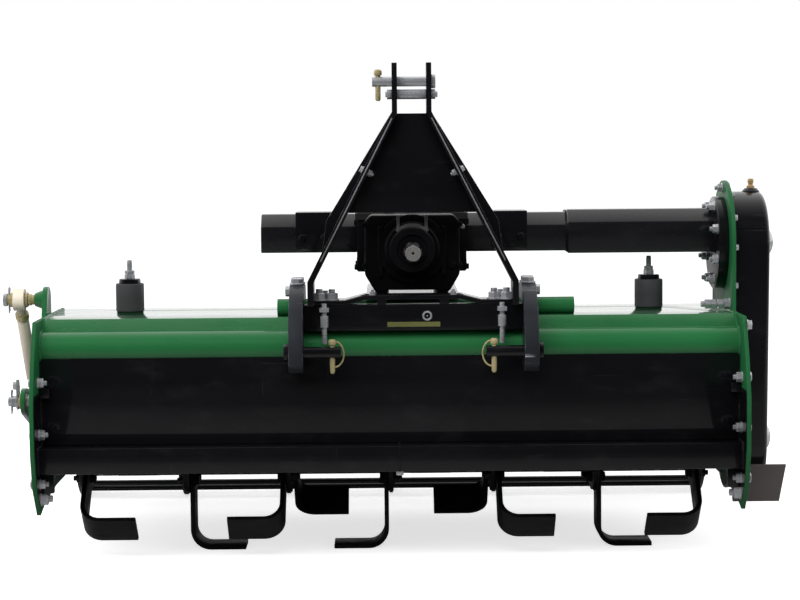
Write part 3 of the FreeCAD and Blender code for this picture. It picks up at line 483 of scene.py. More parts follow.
def prism(outline: Sequence[Flat], depth: float) -> Shape:
    """Extrudes an (x, y) outline along Z from height 0."""
    return lofted([(outline, 0.0), (outline, depth)])


def block(low: Point, high: Point) -> Shape:
    """A box between two corners."""
    foot = [(low[0], low[1]), (high[0], low[1]), (high[0], high[1]), (low[0], high[1])]
    return moved(prism(foot, high[2] - low[2]), Matrix.Translation((0, 0, low[2])))


def swept(points: Sequence[Vector], radius: float, sides: int = 8) -> Shape:
    """A round wire along points, closed at both ends.

    Args:
        points: Middle line, at least two points.
        radius: Radius of the wire.
        sides: Faces round it.

    Returns:
        A closed mesh.
    """
    rings = []
    side = None
    for i, point in enumerate(points):
        onward = (points[min(i + 1, len(points) - 1)] - points[max(i - 1, 0)]).normalized()
        side = side or onward.orthogonal().normalized()
        side = (side - onward * side.dot(onward)).normalized()
        up = onward.cross(side)
        turns = [2 * math.pi * k / sides for k in range(sides)]
        rings.append([point + side * (radius * math.cos(turn)) + up * (radius * math.sin(turn))
                      for turn in turns])
    return skinned(rings)


def eased(shape: Shape, width: float, segments: int = 2, angle: float = 30.0) -> Shape:
    """Rounds every edge that is sharper than an angle.

    Args:
        shape: Mesh to round, changed in place.
        width: Width of the rounding in metres.
        segments: Faces across it.
        angle: Least angle between the two faces, in degrees.

    Returns:
        The same mesh.
    """
    least = math.radians(angle)
    edges = [e for e in shape.edges if e.is_manifold and e.calc_face_angle(0.0) > least]
    bmesh.ops.bevel(shape, geom=edges, offset=width, offset_type="OFFSET", segments=segments,
                    profile=0.5, affect="EDGES", clamp_overlap=True)
    return shape


def merged(shapes: Sequence[Shape]) -> Shape:
    """Puts several meshes in one, and frees them.

    Args:
        shapes: Meshes in the same frame.

    Returns:
        The mesh that holds them all.
    """
    whole = bmesh.new()
    for shape in shapes:
        mesh = freed(shape, "part")
        whole.from_mesh(mesh)
        bpy.data.meshes.remove(mesh)
    return whole


def freed(shape: Shape, name: str) -> bpy.types.Mesh:
    """Writes a mesh to a new data block and frees it.

    Args:
        shape: The mesh.
        name: Name of the data block.

    Returns:
        The data block.
    """
    mesh = bpy.data.meshes.new(name)
    shape.to_mesh(mesh)
    shape.free()
    return mesh


def moved(shape: Shape, matrix: Matrix) -> Shape:
    """Moves a mesh and returns it."""
    shape.transform(matrix)
    return shape


def aimed(spot: Sequence[float], axis: Vector) -> Matrix:
    """Matrix that takes Z to an axis and the origin to a spot."""
    return Matrix.Translation(spot) @ axis.to_track_quat("Z", "Y").to_matrix().to_4x4()


def across(x: float) -> Matrix:
    """Stands an outline of (y, z) points at x, with its depth along +X."""
    return Matrix(((0, 0, 1, x), (1, 0, 0, 0), (0, 1, 0, 0), (0, 0, 0, 1)))


def ahead(y: float) -> Matrix:
    """Stands an outline of (x, z) points at y, with its depth along -Y."""
    return Matrix(((1, 0, 0, 0), (0, 0, -1, y), (0, 1, 0, 0), (0, 0, 0, 1)))


def on_circle(radius: float, degrees: float, centre: Flat = (0.0, 0.0)) -> Flat:
    """Point of a circle at an angle."""
    turn = math.radians(degrees)
    return centre[0] + radius * math.cos(turn), centre[1] + radius * math.sin(turn)


def hexagon(flats: float) -> list[Flat]:
    """Corners of a hexagon of that size across its flats."""
    return [on_circle(flats / math.sqrt(3), 60 * i) for i in range(6)]


def stadium(first: Flat, second: Flat, radius: float, steps: int = 24) -> list[Flat]:
    """Outline of two equal discs joined by their tangents.

    Args:
        first: Middle of the upper disc.
        second: Middle of the lower disc.
        radius: Radius of both.
        steps: Edges round each half.

    Returns:
        Corners in order.
    """
    lean = math.degrees(math.atan2(first[1] - second[1], first[0] - second[0]))
    return [on_circle(radius, lean + quarter + 180 * i / steps, centre)
            for centre, quarter in ((first, -90), (second, 90)) for i in range(steps + 1)]


def ring_path(centre: Point, radius: float) -> list[Point]:
    """Points of a closed circle about X.

    Args:
        centre: Its middle.
        radius: Its radius.

    Returns:
        Points round it, the last on the first.
    """
    steps = 36
    frame = aimed(centre, AXIS_X)
    turns = [on_circle(radius, 360 * i / steps) for i in range(steps + 1)]
    return [tuple(frame @ Vector((x, y, 0))) for x, y in turns]


# ---------------------------------------------------------------- pieces
SHARP_ANGLE = 35.0


def shaded(mesh: bpy.types.Mesh) -> bpy.types.Mesh:
    """Smooths a mesh, with sharp edges where it turns by more than the angle for that."""
    mesh.shade_smooth()
    mesh.set_sharp_from_angle(angle=math.radians(SHARP_ANGLE))
    return mesh


def placed(name: str, mesh: bpy.types.Mesh, finish: Finish, body: str = "frame",
           replaces: Sequence[str] = ()) -> Piece:
    """Makes a finished mesh a piece that rides on a body.

    Args:
        name: Name of the piece.
        mesh: Its mesh in the row frame.
        finish: Its finish.
        body: The body that it rides on.
        replaces: Frame nodes that it stands for.

    Returns:
        The new object.
    """
    mesh.materials.clear()
    mesh.materials.append(finish.material())
    piece = bpy.data.objects.new(name, shaded(mesh))
    bpy.context.scene.collection.objects.link(piece)
    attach(piece, body)
    if replaces:
        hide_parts(*replaces)
    LOG.info("%s: %d faces on %s", name, len(mesh.polygons), body)
    return piece


def dressed(name: str, shape: Shape | list[Shape], finish: Finish, body: str = "frame",
            replaces: Sequence[str] = ()) -> Piece:
    """Makes one shape or a list of shapes a piece, and frees them.

    Args:
        name: Name of the piece.
        shape: The shape, or the shapes that it joins, in the row frame.
        finish: Its finish.
        body: The body that it rides on.
        replaces: Frame nodes that it stands for.

    Returns:
        The new object.
    """
    whole = merged(shape) if isinstance(shape, list) else shape
    return placed(name, freed(whole, name), finish, body, replaces)


def middle(node: str) -> Vector:
    """Middle of a frame node's box."""
    low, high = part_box(node)
    return (Vector(low) + Vector(high)) / 2


# ---------------------------------------------------------------- repeated hardware
class Hardware(Enum):
    """Kinds of fastener, each drawn once about Z at M12 size with its seat at height 0."""

    HEX_HEAD = "hex head on a washer"
    NUT_AND_STUD = "nut on a washer with the bolt's end through it"


@dataclass(frozen=True)
class Seat:
    """Where one fastener sits.

    Args:
        spot: Middle of its seat.
        axis: Direction that it points away from its seat.
        size: Scale against M12.
    """

    spot: Point
    axis: Point
    size: float = 1.0


def bolt_circle(centre: Vector, radius: float, count: int, axis: Point,
                size: float) -> list[Seat]:
    """Seats round a circle, the first half a pitch up from level.

    Args:
        centre: Middle of the circle, in the plane of the seats.
        radius: Radius of the circle.
        count: How many seats.
        axis: Direction that the fasteners point, along X or Y.
        size: Scale against M12.

    Returns:
        The seats in order.
    """
    turns = [on_circle(radius, 360 * (i + 0.5) / count) for i in range(count)]
    offsets = [(0, level, rise) if axis[0] else (level, 0, rise) for level, rise in turns]
    return [Seat(tuple(centre + Vector(offset)), axis, size) for offset in offsets]


@dataclass(frozen=True)
class Thread:
    """Sizes of the M12 fastener that the patterns are drawn from, in metres."""

    across_flats: float = 0.018
    corner: float = 0.0011
    head: float = 0.0075
    nut: float = 0.010
    washer_radius: float = 0.0118
    washer: float = 0.0022
    washer_edge: float = 0.8  # share of its thickness where its rim starts to round
    washer_cut: float = 0.0005
    stud_radius: float = 0.0058
    stud: float = 0.0165
    stud_point: float = 0.0012
    turns: int = 9
    pitch: float = 0.0013
    thread_depth: float = 0.0007


def geometry_graph(name: str, inputs: dict[str, str]) -> tuple[Graph, Node]:
    """Starts a geometry tree.

    Args:
        name: Its name.
        inputs: Kind of socket for each named input beside the geometry.

    Returns:
        The graph and its entry node.
    """
    tree = bpy.data.node_groups.new(name, "GeometryNodeTree")
    for label, kind in {"Geometry": "Geometry", **inputs}.items():
        tree.interface.new_socket(label, in_out="INPUT", socket_type="NodeSocket" + kind)
    tree.interface.new_socket("Geometry", in_out="OUTPUT", socket_type="NodeSocketGeometry")
    graph = Graph(tree)
    return graph, graph.node("NodeGroupInput")


def set_copies(graph: Graph, finish: Socket, copies: dict[str, Socket]) -> None:
    """Copies a pattern to points, makes the copies real and gives them the finish.

    Args:
        graph: The tree, which this ends.
        finish: The material.
        copies: What feeds the points, the instance, its rotation and its scale.
    """
    copy = graph.node("GeometryNodeInstanceOnPoints", copies)
    real = graph.node("GeometryNodeRealizeInstances", {"Geometry": copy.outputs["Instances"]})
    paint = graph.node("GeometryNodeSetMaterial",
                       {"Geometry": real.outputs["Geometry"], "Material": finish})
    graph.node("NodeGroupOutput", {"Geometry": paint.outputs["Geometry"]})


def grown(seed: bpy.types.Mesh, tree: bpy.types.NodeTree,
          values: dict[str, object]) -> bpy.types.Mesh:
    """Runs a node tree on a mesh.

    Args:
        seed: Points or edges that the tree starts from.
        tree: The tree.
        values: Its inputs by name.

    Returns:
        The plain mesh that it makes.
    """
    holder = bpy.data.objects.new("holder", seed)
    bpy.context.scene.collection.objects.link(holder)
    modifier = holder.modifiers.new("grow", "NODES")
    modifier.node_group = tree
    for socket in tree.interface.items_tree:
        if socket.in_out == "INPUT" and socket.name in values:
            modifier[socket.identifier] = values[socket.name]
    ready = holder.evaluated_get(bpy.context.evaluated_depsgraph_get())
    mesh = bpy.data.meshes.new_from_object(ready)
    holder.modifiers.remove(modifier)
    bpy.data.objects.remove(holder)
    bpy.data.meshes.remove(seed)
    for name in [a.name for a in mesh.attributes if a.name in ("axis", "size")]:
        mesh.attributes.remove(mesh.attributes[name])
    return mesh


@dataclass
class HardwareBox:
    """Draws the fastener patterns and sets them on seats with one node tree."""

    thread: Thread = field(default_factory=Thread)
    patterns: dict[Hardware, Piece] = field(default_factory=dict)
    tree: bpy.types.NodeTree | None = None

    def hex_body(self, low: float, high: float) -> Shape:
        """A hexagon with its upper corners turned off.

        Args:
            low: Height of its foot.
            high: Height of its top.

        Returns:
            Its mesh about Z.
        """
        body = moved(prism(hexagon(self.thread.across_flats), high - low),
                     Matrix.Translation((0, 0, low)))
        rim = [e for e in body.edges if all(v.co.z > high - 1e-6 for v in e.verts)]
        bmesh.ops.bevel(body, geom=rim, offset=self.thread.corner, offset_type="OFFSET",
                        segments=1, profile=0.5, affect="EDGES")
        return body

    def drawn(self, kind: Hardware) -> Shape:
        """The mesh of one kind of fastener.

        Args:
            kind: Which one.

        Returns:
            Its mesh about Z, its seat at height 0.
        """
        t = self.thread
        washer = lathe([(0, 0), (t.washer_radius, 0), (t.washer_radius, t.washer * t.washer_edge),
                        (t.washer_radius - t.washer_cut, t.washer), (0, t.washer)], 20)
        if kind is Hardware.HEX_HEAD:
            return merged([washer, self.hex_body(t.washer, t.washer + t.head)])
        profile = [(0.0, t.washer)]
        for i in range(t.turns):
            height = t.washer + 0.5 * t.nut + i * t.pitch
            profile += [(t.stud_radius, height),
                        (t.stud_radius - t.thread_depth, height + t.pitch / 2)]
        top = t.washer + t.stud
        profile += [(t.stud_radius - t.stud_point, top), (0.0, top)]
        return merged([self.hex_body(t.washer, t.washer + t.nut), lathe(profile, 14), washer])

    def pattern(self, kind: Hardware) -> Piece:
        """The hidden object that is copied for a kind, made once.

        Args:
            kind: Which kind of fastener.

        Returns:
            The object.
        """
        if kind not in self.patterns:
            mesh = shaded(freed(self.drawn(kind), "pattern_" + kind.name.lower()))
            self.patterns[kind] = bpy.data.objects.new(mesh.name, mesh)
        return self.patterns[kind]

    def node_tree(self) -> bpy.types.NodeTree:
        """The tree that copies a pattern to every seat, made once.

        Returns:
            A tree with the inputs Pattern, Turn, Seed and Finish.
        """
        if self.tree:
            return self.tree
        graph, entry = geometry_graph("fastener_setter", {
            "Pattern": "Object", "Turn": "Float", "Seed": "Int", "Finish": "Material"})
        inlet = entry.outputs
        axis = graph.node("GeometryNodeInputNamedAttribute", {"Name": "axis"},
                          data_type="FLOAT_VECTOR")
        size = graph.node("GeometryNodeInputNamedAttribute", {"Name": "size"},
                          data_type="FLOAT")
        align = graph.node("FunctionNodeAlignRotationToVector",
                           {"Vector": axis.outputs["Attribute"]}, axis="Z")
        chance = graph.node("FunctionNodeRandomValue",
                            {2: 0.0, 3: inlet["Turn"], "Seed": inlet["Seed"]}, data_type="FLOAT")
        spin = graph.node("ShaderNodeCombineXYZ", {"Z": chance.outputs[1]})
        turned = graph.node("FunctionNodeEulerToRotation", {"Euler": spin.outputs["Vector"]})
        rotate = graph.node("FunctionNodeRotateRotation", {
            "Rotation": align.outputs["Rotation"], "Rotate By": turned.outputs["Rotation"]},
            rotation_space="LOCAL")
        info = graph.node("GeometryNodeObjectInfo", {"Object": inlet["Pattern"]})
        set_copies(graph, inlet["Finish"], {
            "Points": inlet["Geometry"], "Instance": info.outputs["Geometry"],
            "Rotation": rotate.outputs["Rotation"], "Scale": size.outputs["Attribute"]})
        self.tree = graph.tree
        return self.tree

    def fasten(self, name: str, seats: Sequence[Seat], kind: Hardware, finish: Finish,
               body: str = "frame") -> Piece:
        """Sets one fastener on each seat.

        Args:
            name: Name of the piece.
            seats: Where they go.
            kind: Which fastener.
            finish: Its finish.
            body: Body that they ride on.

        Returns:
            One plain mesh that holds them all.
        """
        points = bpy.data.meshes.new(name + "_seats")
        points.from_pydata([seat.spot for seat in seats], [], [])
        axes = points.attributes.new("axis", "FLOAT_VECTOR", "POINT")
        axes.data.foreach_set("vector", [number for seat in seats for number in seat.axis])
        sizes = points.attributes.new("size", "FLOAT", "POINT")
        sizes.data.foreach_set("value", [seat.size for seat in seats])
        values = {"Pattern": self.pattern(kind), "Turn": math.pi / 3, "Seed": len(name),
                  "Finish": finish.material()}
        return placed(name, grown(points, self.node_tree(), values), finish, body)

    def clear(self) -> None:
        """Deletes the hidden patterns."""
        for pattern in self.patterns.values():
            bpy.data.objects.remove(pattern)
        self.patterns.clear()


@dataclass
class WeldBeads:
    """Rippled weld beads along paths."""

    pitch: float = 0.0026
    smallest: Point = (0.85, 0.85, 0.7)
    largest: Point = (1.15, 1.15, 0.9)
    tree: bpy.types.NodeTree | None = None

    def node_tree(self) -> bpy.types.NodeTree:
        """The tree that lays overlapping ripples along edges, made once.

        Returns:
            A tree with the inputs Pitch, Radius, Seed and Finish.
        """
        if self.tree:
            return self.tree
        graph, entry = geometry_graph("weld_bead", {
            "Pitch": "Float", "Radius": "Float", "Seed": "Int", "Finish": "Material"})
        inlet = entry.outputs
        line = graph.node("GeometryNodeMeshToCurve", {"Mesh": inlet["Geometry"]})
        spread = graph.node("GeometryNodeResampleCurve", {
            "Curve": line.outputs["Curve"], "Length": inlet["Pitch"]}, mode="LENGTH")
        tangent = graph.node("GeometryNodeInputTangent")
        align = graph.node("FunctionNodeAlignRotationToVector",
                           {"Vector": tangent.outputs["Tangent"]}, axis="Z")
        ball = graph.node("GeometryNodeMeshUVSphere",
                          {"Segments": 8, "Rings": 5, "Radius": 1.0})
        chance = graph.node("FunctionNodeRandomValue", {
            0: self.smallest, 1: self.largest, "Seed": inlet["Seed"]}, data_type="FLOAT_VECTOR")
        scale = graph.node("ShaderNodeVectorMath", {
            0: chance.outputs[0], "Scale": inlet["Radius"]}, operation="SCALE")
        set_copies(graph, inlet["Finish"], {
            "Points": spread.outputs["Curve"], "Instance": ball.outputs["Mesh"],
            "Rotation": align.outputs["Rotation"], "Scale": scale.outputs["Vector"]})
        self.tree = graph.tree
        return self.tree

    def lay(self, name: str, paths: Sequence[Sequence[Point]], radius: float,
            finish: Finish) -> Piece:
        """Lays beads along open or closed paths.

        Args:
            name: Name of the piece.
            paths: Points of each bead; a closed one ends on its first point.
            radius: Radius of a bead.
            finish: Paint over it.

        Returns:
            One plain mesh that holds the beads.
        """
        verts: list[Point] = []
        edges: list[tuple[int, int]] = []
        for path in paths:
            start = len(verts)
            closed = len(path) > 2 and (Vector(path[0]) - Vector(path[-1])).length < 1e-6
            verts += path[:-1] if closed else path
            edges += [(i, i + 1) for i in range(start, len(verts) - 1)]
            if closed:
                edges.append((len(verts) - 1, start))
        seed = bpy.data.meshes.new(name + "_path")
        seed.from_pydata(verts, edges, [])
        values = {"Pitch": self.pitch, "Radius": radius, "Seed": len(name),
                  "Finish": finish.material()}
        return placed(name, grown(seed, self.node_tree(), values), finish)


# ---------------------------------------------------------------- workshop
@dataclass(frozen=True)
class Refit:
    """How a frame node is redrawn with eased edges.

    Args:
        node: The node.
        finish: Its finish.
        ease: Width of its rounded edges in metres, 0 for none.
        body: Body that it rides on.
    """

    node: str
    finish: Finish
    ease: float = 0.0008
    body: str = "frame"


@dataclass
class Workshop:
    """What every sub-assembly builds with: the frame, the fasteners and the welds."""

    frame: dict
    hardware: HardwareBox = field(default_factory=HardwareBox)
    welds: WeldBeads = field(default_factory=WeldBeads)
    same_spot: float = 2e-6
    same_plane: float = 0.3
    least_corner: float = 40.0

    def solid_copy(self, node: str) -> Shape:
        """A frame node's mesh with its corners merged and its flat faces joined.

        Args:
            node: The node's name.

        Returns:
            A new mesh in the row frame.
        """
        shape = bmesh.new()
        shape.from_mesh(self.frame["nodes"][node].data)
        bmesh.ops.remove_doubles(shape, verts=shape.verts, dist=self.same_spot)
        bmesh.ops.dissolve_limit(shape, angle_limit=math.radians(self.same_plane),
                                 verts=shape.verts, edges=shape.edges)
        return shape

    def refit(self, *refits: Refit) -> None:
        """Redraws frame nodes with smooth round faces and eased edges.

        Args:
            *refits: Which nodes, and how.
        """
        for item in refits:
            shape = self.solid_copy(item.node)
            if item.ease:
                eased(shape, item.ease, 2, self.least_corner)
            dressed(item.node + "_skin", shape, item.finish, item.body, [item.node])

    def heads(self, name: str, seats: Sequence[Seat], finish: Finish,
              body: str = "frame") -> None:
        """Sets hex heads on seats."""
        self.hardware.fasten(name, seats, Hardware.HEX_HEAD, finish, body)

    def nuts(self, name: str, seats: Sequence[Seat], finish: Finish,
             body: str = "frame") -> None:
        """Sets nuts with their studs on seats."""
        self.hardware.fasten(name, seats, Hardware.NUT_AND_STUD, finish, body)


# ---------------------------------------------------------------- hood
@dataclass
class Hood:
    """Hood, front tube, front plate and beam, and the side plates with their bolts and welds."""

    shop: Workshop
    bead: float = 0.0032
    beam_bead: float = 0.00288
    joint_bead: float = 0.0017
    bead_inset: float = 0.0008
    bead_stop: float = 0.004
    joint_stops: Flat = (0.002, 0.006)
    joint_x: float = 0.0225
    tube_shares: Flat = (0.6, 0.9)  # where beads meet the tube, as shares of its radius
    flat: Flat = (0.025, 0.275)  # ends of the hood's flat, behind the tube's axis
    bolt_y: float = -0.489
    bolt_size: float = 0.95
    left_heights: tuple[float, ...] = (0.372, 0.272, 0.177)
    right_heights: tuple[float, ...] = (0.472, 0.372, 0.275, 0.177)
    highest_nut: float = 0.400
    hinge_size: float = 1.15
    foot_bolt: Flat = (-0.478, 0.147)
    foot_size: float = 1.2
    joint_bolt: Flat = (0.012, 0.8)  # how far behind the beam's front, and its size
    lugs: tuple[tuple[float, Flat, Flat], ...] = (
        (0.020, (-0.482, -0.4665), (0.3420, 0.3600)), (0.026, (-0.486, -0.470), (0.1580, 0.1925)))
    lug_ease: float = 0.0012
    # Thin black sheets inside the side plates paint the shade of the rotor chamber.
    shade_sheet: float = 0.0012
    shade_sheet_outline: tuple[Flat, ...] = (
        (-0.462, 0.1320), (-0.490, 0.1320), (-0.5235, 0.170), (-0.535, 0.210), (-0.543, 0.250),
        (-0.543, 0.330), (-0.5385, 0.352), (-0.462, 0.352))

    def sides(self) -> tuple[tuple[float, float, int], ...]:
        """Inner face, outer face and inward direction of each side plate."""
        left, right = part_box("left_side_plate"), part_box("right_side_plate")
        return (left[1][0], left[0][0], 1), (right[0][0], right[1][0], -1)

    def sheets(self) -> None:
        """Redraws the plates and tubes."""
        self.shop.refit(
            Refit("hood_top", HOOD_GREEN), Refit("front_tube", GREEN, 0.0),
            Refit("front_plate", BLACK), Refit("front_beam", BLACK, 0.0025),
            Refit("left_side_plate", SHADED_PLATE_GREEN, 0.001),
            Refit("right_side_plate", SHADED_PLATE_GREEN, 0.001), Refit("sieve_comb", BLACK, 0.0),
            Refit("board_hinge_rod", ZINC, 0.0006))

    def shade_sheets(self) -> None:
        """Thin black sheets inside the side plates, in front of the plate and beam: painted shade
        of the rotor chamber.
        """
        (left, _, _), (right, _, _) = self.sides()
        dressed("side_liners", [moved(prism(self.shade_sheet_outline, self.shade_sheet), across(x))
                                for x in (left, right - self.shade_sheet)], BLACK)

    def weld(self) -> None:
        """Lays the beads that join the tube, the sheets and the beam to the side plates."""
        low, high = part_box("front_tube")
        y, z, radius = (low[1] + high[1]) / 2, (low[2] + high[2]) / 2, (high[2] - low[2]) / 2
        hood_low, hood_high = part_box("hood_top")
        (_, front, foot), (_, back, top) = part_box("front_beam")
        green, black = [], []
        for inner, _, way in self.sides():
            x = inner + way * self.bead_inset
            green.append(ring_path((x, y, z), radius))
            green.append([(x, y, z + radius * self.tube_shares[0]),
                          (x, y + self.flat[0], hood_high[2]), (x, y + self.flat[1], hood_high[2]),
                          (x, hood_high[1], hood_low[2] + self.bead_stop)])
            black.append([(x, front, foot), (x, front, top), (x, back - self.bead_stop, top),
                          (x, back - self.bead_stop, z - radius * self.tube_shares[1])])
        self.shop.welds.lay("hood_weld_beads", green, self.bead, GREEN)
        self.shop.welds.lay("beam_weld_beads", black, self.beam_bead, BLACK)
        x, (rise, run) = self.joint_x, self.joint_stops
        joint = [(x, front, foot + rise), (x, front, top - rise), (x, back - run, top)]
        self.shop.welds.lay("beam_joint_bead", [joint], self.joint_bead, BLACK)

    def bolts(self) -> None:
        """Bolts through the side plates, heads outside and nuts inside, and the plates' lugs."""
        heads, nuts, hinges, feet, lugs = [], [], [], [], []
        hinge = middle("board_hinge_rod")
        rows = (self.left_heights, self.right_heights)
        for (inner, outer, way), heights in zip(self.sides(), rows):
            inwards, outwards = (way, 0, 0), (-way, 0, 0)
            heads += [Seat((outer, self.bolt_y, z), outwards, self.bolt_size) for z in heights]
            nuts += [Seat((inner, self.bolt_y, z), inwards, self.bolt_size) for z in heights
                     if z < self.highest_nut]
            hinges.append(Seat((outer, hinge.y, hinge.z), outwards, self.hinge_size))
            feet.append(Seat((inner, *self.foot_bolt), inwards, self.foot_size))
            for reach, (y0, y1), (z0, z1) in self.lugs:
                x0, x1 = sorted((inner, inner + way * reach))
                lugs.append(eased(block((x0, y0, z0), (x1, y1, z1)), self.lug_ease))
        _, front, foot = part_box("front_beam")[0]
        set_back, size = self.joint_bolt
        heads.append(Seat((self.joint_x, front + set_back, foot), DOWN, size))
        self.shop.heads("side_plate_bolt_heads", heads, ZINC)
        self.shop.nuts("side_plate_nuts", nuts + hinges + feet, ZINC)
        dressed("side_plate_lugs", lugs, BLACK)

    def build(self) -> None:
        """Builds the whole hood."""
        self.sheets()
        # Painted shade inside the side plates.
        self.shade_sheets()
        self.weld()
        self.bolts()


@dataclass
class Buffers:
    """The two rubber buffers that stand on the hood."""

    shop: Workshop
    rim: float = 0.002
    cap: tuple[Flat, ...] = ((0, 0), (0.0218, 0), (0.0218, 0.007), (0.0203, 0.0095),
                             (0.012, 0.0098), (0, 0.0098))
    stud_radius: float = 0.0058
    stud_point: float = 0.0012
    pitch: float = 0.00175
    thread_depth: float = 0.0009
    thread_run: Flat = (0.020, 0.004)  # above the seat, and below the top
    nut: float = 0.010
    nut_lift: float = 0.0098
    lock_nut: float = 0.006
    lock_lift: float = 0.0204
    lock_turn: float = 0.4
    under_nut_drop: float = 0.0152

    def rubber(self, rise: float, radius: float) -> Shape:
        """One moulded block with a rounded rim, about Z."""
        rim = self.rim
        return lathe([(0, 0), (radius - rim, 0), (radius, rim), (radius, rise / 2),
                      (radius, rise - rim), (radius - rim / 2, rise - rim / 5),
                      (radius - rim, rise), (0, rise)], 40)

    def stud(self, low: float, seat: float, top: float) -> Shape:
        """Threaded bolt with its nuts, about Z.

        Args:
            low: Height of its foot.
            seat: Height of the rubber's top.
            top: Height of its end.

        Returns:
            Its mesh.
        """
        radius, hexes = self.stud_radius, self.shop.hardware.hex_body
        profile = [(0.0, low), (radius, low)]
        height = seat + self.thread_run[0]
        while height < top - self.thread_run[1]:
            profile += [(radius, height), (radius - self.thread_depth, height + self.pitch / 2)]
            height += self.pitch
        profile += [(radius - self.stud_point, top), (0.0, top)]
        nut, lock = seat + self.nut_lift, seat + self.lock_lift
        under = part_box("hood_top")[1][2] - self.under_nut_drop
        return merged([lathe(profile, 16), hexes(nut, nut + self.nut),
                       moved(hexes(lock, lock + self.lock_nut),
                             Matrix.Rotation(self.lock_turn, 4, "Z")),
                       hexes(under, under + self.nut)])

    def build(self) -> None:
        """Builds both buffers."""
        low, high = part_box("rubber_buffers")
        bolt_low, bolt_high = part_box("buffer_bolts")
        radius = (high[1] - low[1]) / 2
        y, foot, seat = (low[1] + high[1]) / 2, low[2], high[2]
        spots = (low[0] + radius, high[0] - radius)
        dressed("rubber_buffer_blocks",
                [moved(self.rubber(seat - foot, radius), Matrix.Translation((x, y, foot)))
                 for x in spots], RUBBER, replaces=["rubber_buffers"])
        dressed("buffer_caps", [moved(lathe(self.cap), Matrix.Translation((x, y, seat)))
                                for x in spots], BLACK)
        dressed("buffer_studs", [moved(self.stud(bolt_low[2], seat, bolt_high[2]),
                                       Matrix.Translation((x, y, 0)))
                                 for x in spots], ZINC, replaces=["buffer_bolts"])


